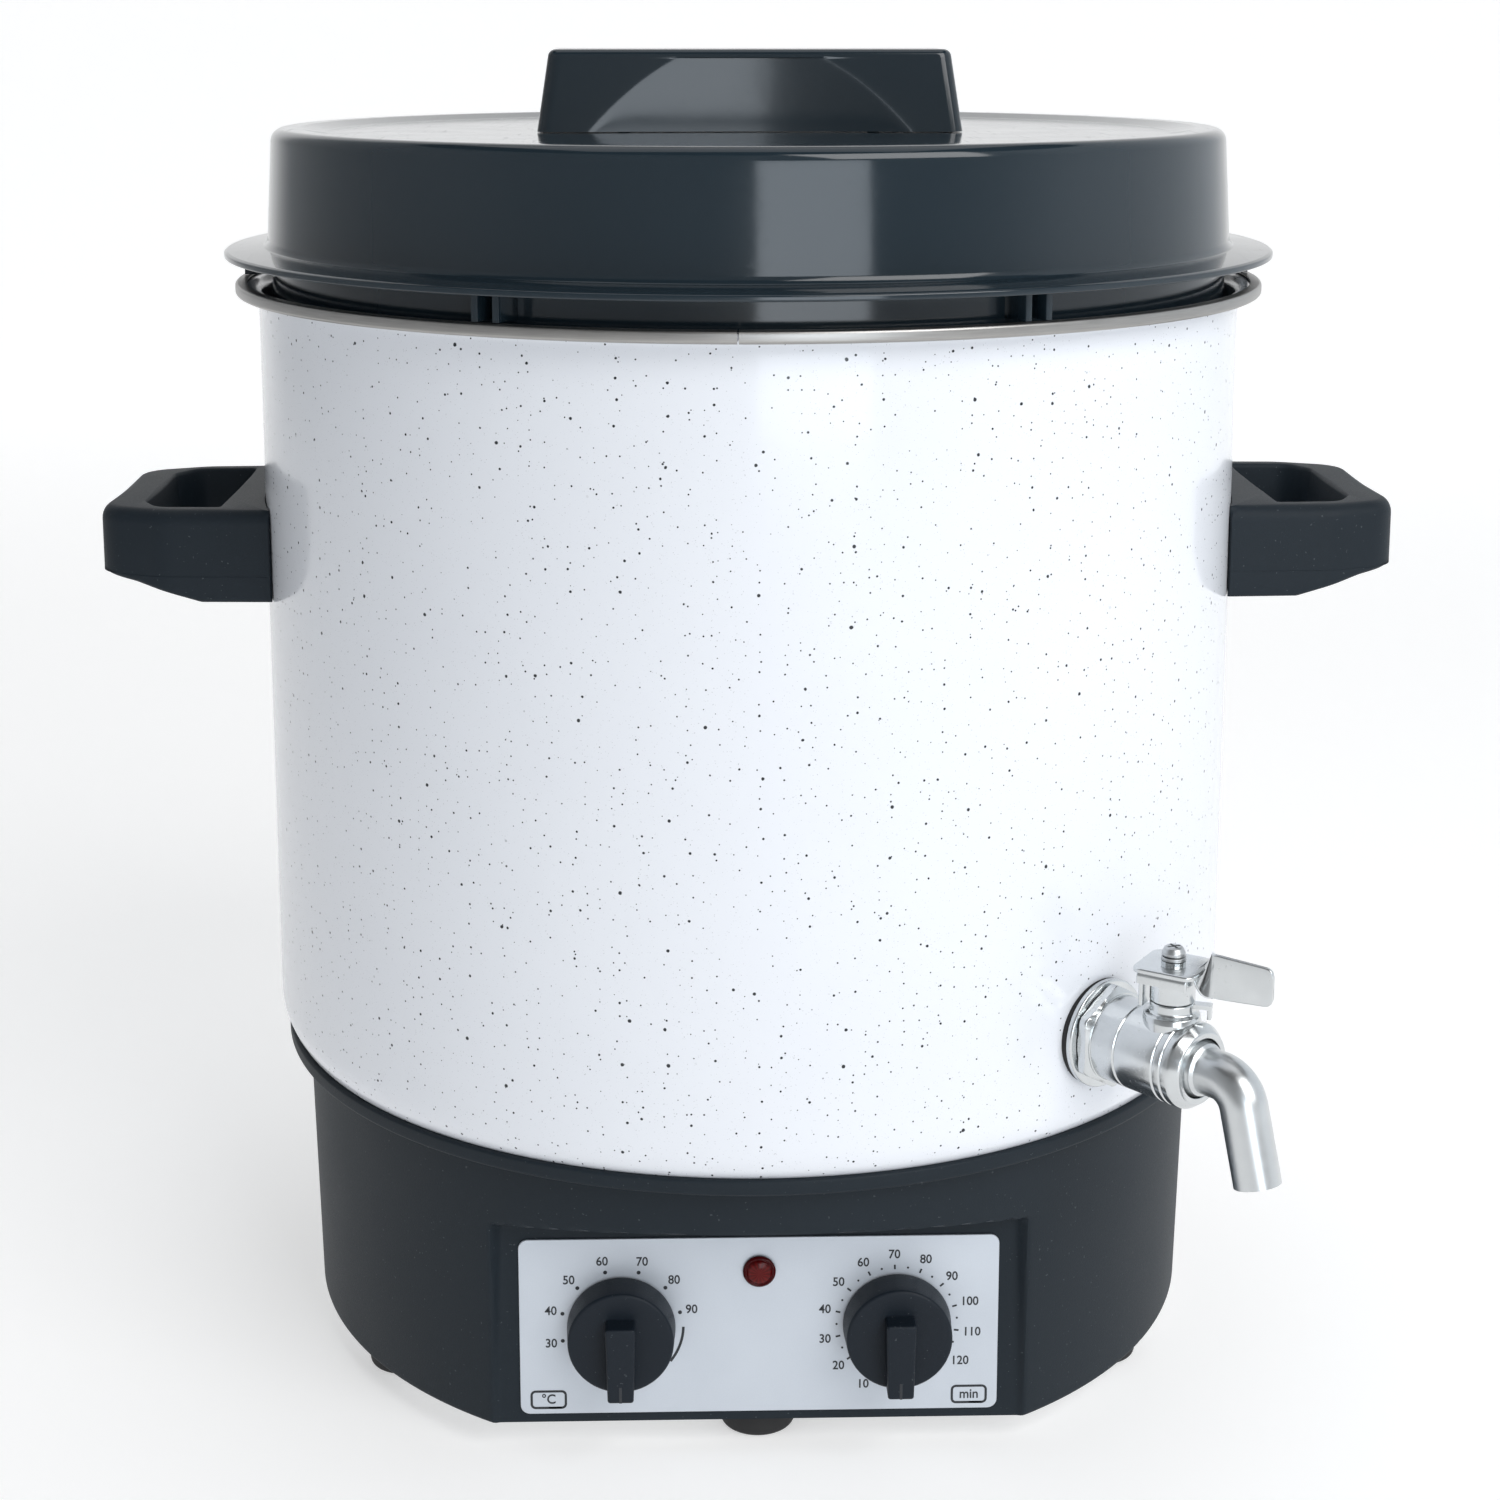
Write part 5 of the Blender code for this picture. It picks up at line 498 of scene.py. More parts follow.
for part in frame["record"]["subparts"]:
    slots = frame["nodes"][part["node"]].data.materials
    slots.clear()
    slots.append(look[part["material_slot"]])
print("finishes made:", len(look))

# Pot: one turned wall with a rolled rim, and the steel channel on it. A corner's third number is its radius.

frontWay, rightWay, upWay = np.array([0.0, -1.0, 0.0]), np.array([1.0, 0.0, 0.0]), np.array([0.0, 0.0, 1.0])


# Two ways at right angles, turned from the first to the second: a cos t + b sin t, and b cos t - a sin t.
def swung(a, b, degrees):
    c, s = math.cos(math.radians(degrees)), math.sin(math.radians(degrees))
    return a * c + b * s, b * c - a * s


# The lower of two heights with the corner softened: (a + b - sqrt((a - b)^2 + k^2)) / 2.
def softMin(a, b, k):
    return 0.5 * (a + b - np.sqrt((a - b) ** 2 + k * k))


pot = Sizes(
    radius=0.175, wall=0.0015, bottom=0.1062, top=0.3847, corner=0.02, rim=0.182, rimSheet=0.0021,
    rimEdge=0.0005, rimUnder=0.003, rimInside=0.005, tapHole=0.0107, tapAt=40.0, tapHeight=0.1475,
    holeFrom=0.15, holeLength=0.05,
)


# Bottom, outer wall, rim, inner wall and floor as one profile turned about Z.
def makePot(p):
    inside, floor, under = p.radius - p.wall, p.bottom + p.wall, p.top - p.rimSheet
    path = arcPath([
        (0, p.bottom), (p.radius, p.bottom, p.corner), (p.radius, under, p.rimUnder),
        (p.rim, under, p.rimEdge), (p.rim, p.top, p.rimEdge), (inside, p.top, p.rimInside),
        (inside, floor, p.corner - p.wall), (0, floor)], 10)
    made = piece("pot_shell", turned(finer(path, 0.004), 288), ["pot"], slot="white_enamel", sharp=32)
    way, _ = swung(frontWay, rightWay, p.tapAt)
    carve(made, [bit(way * p.holeFrom + upWay * p.tapHeight, way, p.tapHole, p.holeLength)])


makePot(pot)

ring = Sizes(
    radius=0.183, sheet=0.0007, lip=0.004, top=0.3857, bottom=0.3816, lipEdge=0.0002, outerCorner=0.0011,
    innerCorner=0.0006, jointX=-0.008, jointGap=0.0005, rows=361,
)


# A channel section carried round the rim, open at the joint: an angle for each row, the section in each.
def makeRing(p):
    lip, r, s, top, bottom = p.radius - p.lip, p.radius, p.sheet, p.top, p.bottom
    edge, outer, inner = p.lipEdge, p.outerCorner, p.innerCorner
    section = loopPath([
        (lip, top, edge), (r, top, outer), (r, bottom, outer), (lip, bottom, edge), (lip, bottom + s, edge),
        (r - s, bottom + s, inner), (r - s, top - s, inner), (lip, top - s, edge)], 5)
    joint, gap = math.asin(p.jointX / r), p.jointGap / r / 2
    angle = np.linspace(joint + gap, joint + tau - gap, p.rows)[:, None]
    z = np.broadcast_to(section[:, 1], (p.rows, len(section)))
    grid = np.stack([section[:, 0] * np.sin(angle), -section[:, 0] * np.cos(angle), z], -1)
    piece("rim_band", tube(grid), ["rim_ring"], sharp=25, coat="brushed_steel")


makeRing(ring)
print("pot and rim made")

# Lid: turned shell with pairs of stand-off ribs, and the scooped grip.

lid = Sizes(
    seat=0.4371, top=0.4388, dish=0.15, edge=0.159, topRadius=0.169, shoulder=0.0044, foot=0.1714,
    brim=0.1865, brimUnder=0.3945, brimSheet=0.0025, drop=0.0012, skirt=0.17, skirtWall=0.0023,
    skirtFoot=0.3697, skirtEdge=0.0009, wall=0.0025, ribTurns=(-27.6, 27.6, 90.0, 152.4, 207.6, 270.0),
    ribSpacing=0.0075, ribSheet=0.0024, ribReach=0.1812, ribLow=0.386, ribSink=(0.0006, 0.001),
)


# Dished top, rounded shoulder, drafted wall, thin sloping brim, then the skirt and the hollow, turned.
def makeLid(p):
    brimTop, brimLow = p.brimUnder + p.brimSheet, p.brimUnder + p.drop
    hollow, foot = p.skirt - p.skirtWall, p.foot
    path = arcPath([
        (0, p.seat), (p.dish, p.seat, 0.008), (p.edge, p.top, 0.003),
        (p.topRadius, p.top, p.shoulder), (foot, brimTop + 2.4 * p.drop, 0.004),
        (foot + p.drop, brimTop + p.drop, 0.0012), (p.brim - p.drop, brimTop, 0.0012),
        (p.brim, brimTop - p.drop / 2, 0.0008), (p.brim, p.brimUnder, 0.0006),
        (p.skirt, brimLow, 0.001), (p.skirt, p.skirtFoot, p.skirtEdge),
        (hollow, p.skirtFoot, p.skirtEdge), (hollow, brimLow, 0.003),
        (p.topRadius - p.wall, p.seat - p.wall, p.shoulder - 0.0015), (0, p.seat - p.wall)], 9)
    halfSheet, (sinkIn, sinkUp) = p.ribSheet / 2, p.ribSink
    ribs = []
    for turn in np.radians(p.ribTurns):
        for x in (-p.ribSpacing / 2, p.ribSpacing / 2):
            low = (x - halfSheet, -p.ribReach, p.ribLow)
            ribs.append(block(low, (x + halfSheet, -p.skirt + sinkIn, p.brimUnder + sinkUp), turn))
    surface = gather(turned(finer(path, 0.004), 320), *ribs)
    piece("lid_cover", surface, ["lid_shell"], "lid", "glossy_lid_plastic", sharp=28)


makeLid(lid)

grip = Sizes(
    low=0.4374, high=0.4658, length=0.0746, topLength=0.0703, depth=0.0277, topDepth=0.0238, endCorner=0.0045,
    leastCorner=0.0008, topEdge=0.0022, drum=0.369, scoop=0.00425, scoopTop=0.00085, scoopMargin=0.003,
    scoopSoft=0.00025, sidePoints=150, endPoints=16,
)


# One outline of the grip at a share of its height, drawn in by inset. On its long sides each point moves in
# by the scoop, depth - (drum - sqrt(drum^2 - x^2)), kept above zero by softMin.
def gripOutline(p, share, inset, depth):
    halfX, halfY = mix(p.length, p.topLength, share) - inset, mix(p.depth, p.topDepth, share) - inset
    corner = max(p.endCorner - inset, p.leastCorner)
    x, y, side, end = halfX - corner, halfY - corner, p.sidePoints, p.endPoints
    sines, cosines = (corner * f(np.linspace(0, math.pi / 2, 9)[1:-1]) for f in (np.sin, np.cos))
    half = np.concatenate([np.column_stack(pair) for pair in (
        (np.linspace(-x, x, side), np.full(side, -halfY)), (x + sines, -y - cosines),
        (np.full(end, halfX), np.linspace(-y, y, end)), (x + cosines, y + sines))])
    loop = np.concatenate([half, -half])
    if depth > 0:
        cut = depth - (p.drum - np.sqrt(p.drum ** 2 - loop[:, 0] ** 2))
        onSide = np.abs(loop[:, 1]) > halfY - 1e-6
        loop[:, 1] += np.sign(loop[:, 1]) * softMin(-cut, 0, p.scoopSoft) * onSide
    return loop


# A tapering block as a stack of outlines. The scoop ends under a flat margin below the rounded top edge, and
# the top closes towards a ridge line.
def makeGrip(p):
    rise = p.high - p.low
    margin = rise - p.scoopMargin
    heights = np.append(np.linspace(0, margin - 0.0004, 34), margin - 0.0001)
    rows = [(up, 0.0, mix(p.scoop, p.scoopTop, up / margin)) for up in heights]
    rows += [(margin + 0.0001, 0.0, 0.0)]
    for t in np.linspace(0, math.pi / 2, 7):
        rows.append((rise - p.topEdge * (1 - math.sin(t)), p.topEdge * (1 - math.cos(t)), 0.0))
    grid = [level(gripOutline(p, up / rise, inset, depth), p.low + up) for up, inset, depth in rows]
    top = grid[-1]
    ridge = np.sign(top[:, 0]) * np.maximum(np.abs(top[:, 0]) - p.topDepth, 0)
    middle = np.column_stack([ridge, ridge * 0, top[:, 2]])
    grid += [mix(middle, top, share) for share in (0.75, 0.4, 0.1)]
    piece("lid_grip", tube(np.stack(grid)), ["lid_handle"], "lid", "glossy_lid_plastic", sharp=24)


makeGrip(grip)
print("lid made")

# Side handles: a loop round a finger hole.

handle = Sizes(
    top=0.3077, rootLow=0.2752, reach=0.23, rootHalfWidth=0.0508, endHalfWidth=0.04, shoulder=0.206,
    shoulderIn=0.0012, shoulderRound=0.024, corner=0.014, root=0.1753, rootInset=0.0002, rootRound=0.0006,
    grip=0.015, topEdge=0.0052, lowEdge=0.0016, holeEdge=0.0018, holeStart=0.187, holeHalfWidth=0.04,
    holeEndHalfWidth=0.033, holeDraft=0.004, sideDraft=0.25, seam=0.2845, seamHalf=0.00015, seamDeep=0.00012,
    under=[(0.0, 0.0), (0.193, 0.0), (0.216, 0.0066), (0.23, 0.0092)], screwHead=0.004, screwInset=0.0033,
    screwBelow=0.004, fine=0.0008, columns=300,
)


# A closed line as seen from a point inside it: where each angle's ray crosses it.
def byAngle(loop, centre, angle):
    offset = loop - centre
    a = np.arctan2(offset[:, 1], offset[:, 0]) % tau
    order = np.argsort(a)
    a, offset = a[order], offset[order]
    a, offset = np.concatenate([a - tau, a, a + tau]), np.concatenate([offset] * 3)
    return np.column_stack([np.interp(angle, a, offset[:, 0]), np.interp(angle, a, offset[:, 1])]) + centre


# The outside from above: two shoulders, two corners at the end, and the root along the pot's wall.
def handleOuter(p):
    w, s = p.rootHalfWidth, p.rootHalfWidth - p.shoulderIn
    wall = np.linspace(w, -w, 13)
    back = [(math.sqrt(p.root ** 2 - y ** 2), y, p.rootRound * (abs(y) == w)) for y in wall]
    return loopPath([
        (p.shoulder, -s, p.shoulderRound), (p.reach, -p.endHalfWidth, p.corner),
        (p.reach, p.endHalfWidth, p.corner), (p.shoulder, s, p.shoulderRound), *back], 10)


# The finger hole from above, drawn in by draft at its end and by a share of it at its sides.
def handleHole(p, draft):
    end = p.reach - p.grip - draft
    a, b = p.holeHalfWidth - draft * p.sideDraft, p.holeEndHalfWidth - draft * p.sideDraft
    half = [(p.holeStart, -a, 0.0012), (end - 0.006, -a + 0.001, 0.007), (end, -b + 0.005, 0.006)]
    return loopPath(half + [(x, -y, radius) for x, y, radius in half[::-1]], 8)


# The section is carried round from the hole to the outside. A row's points lie at hole + inset along the ray
# to the outer line, or outer line - inset, and at top - drop or the under side + drop, with quarter-round
# corners. The under side is flat at the root, then rises in two slopes. Both handles are made and cut on the
# left, since the solver can take the right one's flat end for its inside, and the right one is then mirrored.
def makeHandle(p, word):
    centre = np.array([0.5 * (p.holeStart + p.reach - p.grip), 0.0])
    angle = np.linspace(0, tau, p.columns, endpoint=False)
    lines = handleOuter(p), handleHole(p, 0.0), handleHole(p, p.holeDraft)
    outer, holeTop, holeLow = (byAngle(finer(line, p.fine), centre, angle) for line in lines)
    atRoot = (np.hypot(outer[:, 0], outer[:, 1]) < p.root + p.rootInset)[:, None]
    up = np.linspace(0, math.pi / 2, 8)
    runs = (("outer", "low", up), ("outer", "seam", (-1, 0, 1)), ("outer", "top", up[::-1]),
            ("hole", "top", up), ("hole", "low", up[::-1]))
    underPlaces, underRises = np.array(p.under).T
    rows = []
    for wall, storey, q in ((wall, storey, q) for wall, storey, run in runs for q in run):
        edge = p.holeEdge if wall == "hole" else p.lowEdge if storey == "low" else p.topEdge
        inset, drop = edge * (1 - math.sin(q)), edge * (1 - math.cos(q))
        if storey == "seam":
            inset = p.seamDeep * (q == 0)
        hole = holeLow if storey == "low" else holeTop
        ray = (outer - hole) / np.linalg.norm(outer - hole, axis=1)[:, None]
        flat = outer - ray * np.where(atRoot, p.rootInset, inset) if wall == "outer" else hole + ray * inset
        under = p.rootLow + np.interp(flat[:, 0], underPlaces, underRises)
        heights = {"low": under + drop, "top": p.top - drop, "seam": p.seam + p.seamHalf * q}
        z = np.broadcast_to(heights[storey], len(flat))
        rows.append(np.column_stack([-flat[:, 0], flat[:, 1], z]))
    made = piece(f"grip_{word}", tube(np.stack(rows), True), [f"handle_{word}"], slot="charcoal_plastic")
    holes = []
    for end in ("front", "rear"):
        low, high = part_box(f"handle_screw_{word}_{end}")
        at = (-abs(low[0] + high[0]) / 2, (low[1] + high[1]) / 2, p.rootLow - p.screwBelow)
        holes.append(bit(at, upWay, p.screwHead, p.screwBelow + p.screwInset))
    carve(made, holes)
    if word == "right":
        made.data.transform(Matrix.Diagonal((-1, 1, 1, 1)))
        made.data.flip_normals()


makeHandle(handle, "left")
makeHandle(handle, "right")
print("handles made")

# Base: a turned skirt whose front is pushed back to the control panel.

base = Sizes(
    low=0.0098, top=0.1135, topRadius=0.1655, lowRadius=0.163, lip=0.1726, lipFoot=0.1084, lipUnder=0.1064,
    wall=0.003, panel=-0.1345, halfWidth=0.086, flare=0.0022, ceiling=0.0822, slope=16.5, recessFrom=-0.06,
    seatInner=0.145, seat=0.1034, seatSheet=0.0029, seatEnd=0.155, cup=0.156, cupTop=0.17, cupDrop=0.005,
    bench=0.09, soft=0.0008, fine=0.62,
)


# How far forward the housing's front lies: the outer wall, or the recess where that lies further back. The
# recess is the foremost of the panel's plane, its 45 degree sides and the ceiling, which rises to the front.
def recessed(x, y, z, p, inset):
    panel = p.panel + inset
    half = p.halfWidth + inset + p.flare * np.clip((p.ceiling - z) / (p.ceiling - p.low), 0, 1)
    ceiling = panel - (z - p.ceiling - inset) / math.tan(math.radians(p.slope))
    back = softMin(softMin(panel, panel - (np.abs(x) - half), p.soft), ceiling, p.soft)
    return np.where(y < p.recessFrom, -softMin(-y, -back, p.soft), y)


# Outer and inner profile turned about Z, with closer columns where the recess meets the wall.
def makeBase(p):
    def wallAt(z):
        return mix(p.lowRadius, p.topRadius, (z - p.low) / (p.top - p.low))

    under, bench, low, cupLow = p.seat - p.seatSheet, p.bench, p.low, p.top - p.cupDrop
    footInside = wallAt(low) - p.wall
    outer = arcPath([
        (p.cup, cupLow), (p.cupTop, p.top, 0.001), (p.lip, p.top, 0.001),
        (p.lip, p.lipFoot, 0.0014), (wallAt(p.lipUnder), p.lipUnder, 0.002), (wallAt(bench), bench),
        (wallAt(low), low, 0.0018), (footInside, low)], 7)
    inner = arcPath([
        (footInside, low + 0.0001), (wallAt(bench) - p.wall, bench + 0.002, 0.004), (p.cup, under),
        (p.seatInner, under), (p.seatInner, p.seat), (p.seatEnd, p.seat, 0.004),
        (p.cup, cupLow - 0.0005)], 5)
    outer, inner = finer(outer, 0.0012), finer(inner, 0.004)
    path = np.concatenate([outer, inner])
    inset = np.where(np.arange(len(path)) < len(outer) - 2, 0.0, p.wall)[:, None]
    front = np.linspace(-p.fine, p.fine, 250, endpoint=False)
    angle = np.concatenate([front, np.linspace(p.fine, tau - p.fine, 200, endpoint=False)])[None, :]
    r, z = path[:, 0][:, None], np.broadcast_to(path[:, 1][:, None], (len(path), angle.shape[1]))
    x, y = r * np.sin(angle), -r * np.cos(angle)
    grid = np.stack([x, recessed(x, y, z, p, inset), z], -1)
    piece("base_skirt", tube(grid, True), ["base_housing"], slot="charcoal_plastic", sharp=35)


makeBase(base)

foot = Sizes(
    radius=0.0135, height=0.0095, edge=0.0016, lowShare=0.93, lowEdgeShare=1.6, hollow=0.001,
    hollowShare=0.62, hollowTopShare=0.56, hollowEdge=0.0004, pitch=0.145, frontPitch=0.117, count=6,
)


# A soft foot turned about its own axis, drawn in towards the table, with a shallow hollow under it.
def makeFeet(p):
    r = p.radius
    path = arcPath([
        (0, p.height), (r, p.height, p.edge), (r * p.lowShare, 0.0, p.edge * p.lowEdgeShare),
        (r * p.hollowShare, 0.0, p.hollowEdge), (r * p.hollowTopShare, p.hollow, p.hollowEdge),
        (0, p.hollow)], 6)
    for k in range(p.count):
        pitch, angle = (p.frontPitch if k == 0 else p.pitch), tau * k / p.count
        points, groups = turned(path, 64)
        points = points + (pitch * math.sin(angle), -pitch * math.cos(angle), 0)
        piece(f"soft_foot_{k + 1}", (points, groups), [f"foot_{k + 1}"], slot="black_rubber")


makeFeet(foot)
print("base and feet made")

# Controls: plate with printed marks, two knobs and the lamp. Each is laid with its own up to the front.

panel = Sizes(
    width=0.161, height=0.063, corner=0.0032, centre=0.0447, back=-0.1348, front=-0.1354, spacing=0.0926,
    edge=0.0003,
)


# Laid at (x, y, z) with its own x to the right, y up and z to the front.
def facing(surface, x, y, z):
    return laid(surface, (x, y, z), (1, 0, 0), (0, 0, 1), (0, -1, 0))


# Rounded rectangle carried forward, its front edge rolled over.
def makePlate(p):
    plate = rolledBox(p.width / 2, p.height / 2, p.corner, 0.0, p.back - p.front, 0, p.edge)
    piece("fascia_plate", facing(plate, 0, p.back, p.centre), ["control_plate"], slot="silver_fascia")


makePlate(panel)

knob = Sizes(
    radius=0.0182, frontRadius=0.0176, back=-0.136, backEdge=0.0004, thick=0.0115, edge=0.0011, barWidth=0.01,
    tipWidth=0.0086, barProud=0.0072, barSink=0.001, head=0.0087, tip=0.0174, barCorner=0.0009,
    barEdge=0.0008, index=0.0056, indexWidth=0.0009, indexCorner=0.0001, indexIn=0.0002, indexSink=0.0006,
    indexProud=0.00004,
)


# Turned skirt, then the pointer bar: a tapering rounded outline carried forward, its front edge rolled over.
def makeKnob(p, x, word, body):
    r, edge, thick = p.radius, p.backEdge, p.thick
    path = arcPath([(0, 0), (r - edge, 0, 0.0002), (r, edge, 0.0002), (p.frontRadius, thick, p.edge),
                    (0, thick)], 7)

    def barOutline(inset):
        wide, narrow = p.barWidth / 2 - inset, p.tipWidth / 2 - inset
        head, tip = p.head - inset, -p.tip + inset
        ends = (narrow, tip), (wide, head), (-wide, head), (-narrow, tip)
        return loopPath([(*end, p.barCorner) for end in ends], 6)

    bar = rolled(barOutline, thick - p.barSink, thick + p.barProud, 0, p.barEdge)
    surface = facing(gather(turned(finer(path, 0.002), 128), bar), x, p.back, panel.centre)
    piece(f"dial_{word}", surface, [f"{word}_knob"], body, "knob_plastic")
    line = roundedBox(p.indexWidth / 2, p.index / 2, p.indexCorner, 3)
    index = rolled(lambda inset: line, -p.indexSink, p.indexProud, 0, 0)
    z = panel.centre - p.tip + p.index / 2 + p.indexIn
    surface = facing(index, x, p.back - thick - p.barProud, z)
    piece(f"dial_{word}_index", surface, (), body, "knob_plastic", coat="ink")


makeKnob(knob, -panel.spacing / 2, "thermostat", "thermostat_dial")
makeKnob(knob, panel.spacing / 2, "timer", "timer_dial")

lamp = Sizes(bezel=0.0055, lens=0.0046, proud=0.0022, sink=0.0002)


# Bezel and domed lens turned about the lamp's axis.
def makeLamp(p):
    lens, proud = p.lens, p.proud
    path = arcPath([
        (0, 0), (p.bezel, 0, 0.0002), (p.bezel, proud * 0.35, 0.0003), (lens + 0.0002, proud * 0.62, 0.0002),
        (lens - 0.0002, proud * 0.4, 0.0002), (lens * 0.8, proud * 0.74, 0.002),
        (lens * 0.4, proud * 0.96, 0.003), (0, proud)], 6)
    surface = facing(turned(finer(path, 0.0006), 96), 0, panel.front - p.sink, lampHeight)
    piece("signal_lamp", surface, ["lamp_lens"], slot="red_lens")


makeLamp(lamp)

# Printed marks: numbers, dots, ticks and the boxed units, as ink just proud of the plate. Angles are in
# degrees, clockwise from straight down as seen from the front.
marks = Sizes(
    lift=0.00006, film=0.00004, size=0.0044, bold=0.016, narrow=0.92, round=0.0203, numbers=0.0243,
    dot=0.00068, smallDot=0.00038, tick=0.00062, tickHalf=0.0008,
    thermostat=[(30, 76), (40, 104), (50, 134), (60, 165), (70, 197), (80, 227), (90, 256)], boil=(271, 308),
    boilWidth=0.0009, boilOut=0.0005, timerFirst=27.0, timerStep=25.1, timerCount=12,
    timerOut=(0.0005, 0.0013), timerWideFrom=9, unitAt=(0.071, -0.0263), unitHalf=(0.00575, 0.003),
    unitCorner=0.0014, unitLine=0.0008, unitSize=0.0048,
)


# A printed line: the path moved half a width to both sides along its normal.
def stroke(path, width):
    path = np.array(path, float)
    run = np.gradient(path, axis=0)
    normal = np.column_stack([-run[:, 1], run[:, 0]]) / np.linalg.norm(run, axis=1)[:, None]
    n = len(path)
    k = np.arange(n - 1)
    faces = np.column_stack([k, k + 1, n + k + 1, n + k])
    return np.concatenate([path + normal * width / 2, path - normal * width / 2]), [faces]


# A round dot: centre + radius (cos a, sin a).
def dot(centre, radius, count=20):
    a = np.arange(count) * tau / count
    return np.column_stack([np.cos(a), np.sin(a)]) * radius + centre, [np.arange(count)[None, :]]


# The point of the plate at an angle and radius of the dial at x: x - r sin a, centre - r cos a.
def onDial(angle, radius, x):
    a = np.radians(angle)
    return np.stack([x - radius * np.sin(a), panel.centre - radius * np.cos(a)], -1)


# The area that a flat loop encloses, above zero where it runs anticlockwise: half the sum of x z' - x' z.
def signedArea(loop):
    following = np.roll(loop, -1, axis=0)
    return 0.5 * np.sum(loop[:, 0] * following[:, 1] - following[:, 0] * loop[:, 1])


# Numbers or a unit as a flat mesh, centred on a point of the plate.
def label(text, centre, size, m):
    curve = bpy.data.curves.new("label", "FONT")
    curve.body, curve.size, curve.align_x, curve.align_y = text, size, "CENTER", "CENTER"
    curve.resolution_u, curve.offset = 4, size * m.bold
    made = linked("label", curve)
    mesh = settled(made)
    bpy.data.objects.remove(made)
    points = np.empty(len(mesh.vertices) * 3, np.float32)
    mesh.vertices.foreach_get("co", points)
    groups = [np.array([tuple(face.vertices)]) for face in mesh.polygons]
    return points.reshape(-1, 3)[:, :2] * (m.narrow, 1) + centre, groups


# The thermostat's boiling arc, dots and numbers, the timer's ticks, numbers and small dots, and the units.
def makeMarks(m):
    left, right, r = -panel.spacing / 2, panel.spacing / 2, m.round
    items = [stroke(onDial(np.linspace(*m.boil, 30), r + m.boilOut, left), m.boilWidth)]
    for value, angle in m.thermostat:
        items.append(dot(onDial(angle, r, left), m.dot))
        items.append(label(str(value), onDial(angle, m.numbers, left), m.size, m))
    for k in range(m.timerCount):
        angle = m.timerFirst + m.timerStep * k
        reach = m.numbers + m.timerOut[k >= m.timerWideFrom]
        tick = [onDial(angle, r + off, right) for off in (-m.tickHalf, 0, m.tickHalf)]
        items.append(stroke(tick, m.tick))
        items.append(label(str(10 * (k + 1)), onDial(angle, reach, right), m.size, m))
        if k < m.timerCount - 1:
            items.append(dot(onDial(angle + m.timerStep / 2, r, right), m.smallDot))
    for side, text in ((-1, "°C"), (1, "min")):
        centre = (side * m.unitAt[0], panel.centre + m.unitAt[1])
        box = roundedBox(*m.unitHalf, m.unitCorner, 6)
        items.append(stroke(np.concatenate([box, box[:2]]) + centre, m.unitLine))
        items.append(label(text, centre, m.unitSize, m))
    points, groups = gather(*items)
    fronts = [faces if signedArea(points[faces[0]]) > 0 else faces[:, ::-1] for faces in groups]
    y = np.full(len(points), panel.front - m.lift)
    surface = np.column_stack([points[:, 0], y, points[:, 1]]), fronts
    ink = linked("dial_marks", meshOf("dial_marks", surface))
    ink.data.materials.append(look["ink"])
    film = ink.modifiers.new("film", "SOLIDIFY")
    film.thickness, film.offset = m.film, -1
    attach(ink, "cooker")


makeMarks(marks)
print("controls made")

# Tap, in its own ways: out along the pipe, side across it, and up. Distances out are from the pot's axis.

tap = Sizes(
    wallAt=0.1751, hole=0.0106, sealEnd=0.176, sealRadius=0.0178, flange=(0.1763, 0.1785),
    flangeRadius=0.0182, tail=(0.162, 0.0103), hex=(0.1788, 0.1831), hexFrom=0.0148, halfAcross=0.0155,
    hexCorner=0.0176, barrel=0.0142, shoulder=0.2148, end=0.218, endRadius=0.0118, cavity=0.0098, room=0.1958,
    bore=0.005, ball=0.205, grooves=(0.1927, 0.2085, 0.2117), grooveDepth=0.0006, grooveWidth=0.001,
    neck=[(0.0043, 0.0194, 0.0001), (0.0072, 0.0194, 0.0005), (0.0072, 0.0162, 0.001),
          (0.009, 0.0154, 0.0006), (0.0094, 0.0136, 0.001), (0.0088, 0.008, 0.0005), (0.0043, 0.008, 0.0001)],
    stopStart=0.006, stopReach=0.0128, stopHalf=0.0018, stopSheet=0.0014, stopLow=0.0146, stopHigh=0.0192,
    stopStep=0.0001, stopTurn=30.0,
)
outWay, sideWay = swung(frontWay, rightWay, pot.tapAt)
pipeAxis = upWay * pot.tapHeight
ballAt = pipeAxis + outWay * tap.ball


# Laid with its own z out along the pipe.
def alongPipe(surface):
    return laid(surface, pipeAxis, sideWay, upWay, outWay)


# Laid with its own z up the stem, from the ball's middle.
def aboutStem(surface):
    return laid(surface, ballAt, sideWay, outWay, upWay)


# A hexagon's side lies halfAcross / cos(angle from the flat's middle) out; it cuts only rows above a radius.
def hexCut(halfAcross, above):
    def cut(r, angle):
        flat = halfAcross / np.cos((angle % (tau / 6)) - tau / 12)
        return np.where(r > above, softMin(r, flat, 0.0004) - r, 0.0)
    return cut


# The seal starts as a ring of height 0.01. Its back follows the wall, which lies sqrt(wall^2 - side^2) out.
def makeTapRings(p):
    ringHeight = 0.01
    blank = ringSection(p.hole, p.sealRadius, 0.0, ringHeight, [0.0001] * 4, 3)
    points, groups = turned(finer(blank, 0.002), 128)
    wall = np.sqrt(p.wallAt ** 2 - points[:, 0] ** 2)
    points[:, 2] = mix(wall, p.sealEnd, np.clip(points[:, 2] / ringHeight, 0, 1))
    piece("tap_gasket", alongPipe((points, groups)), ["tap_seal"], slot="black_rubber")
    flange = ringSection(p.hole, p.flangeRadius, *p.flange, (0.0002, 0.0004, 0.0008, 0.0002))
    piece("tap_washer", alongPipe(turned(flange, 160)), ["tap_flange"])


makeTapRings(tap)


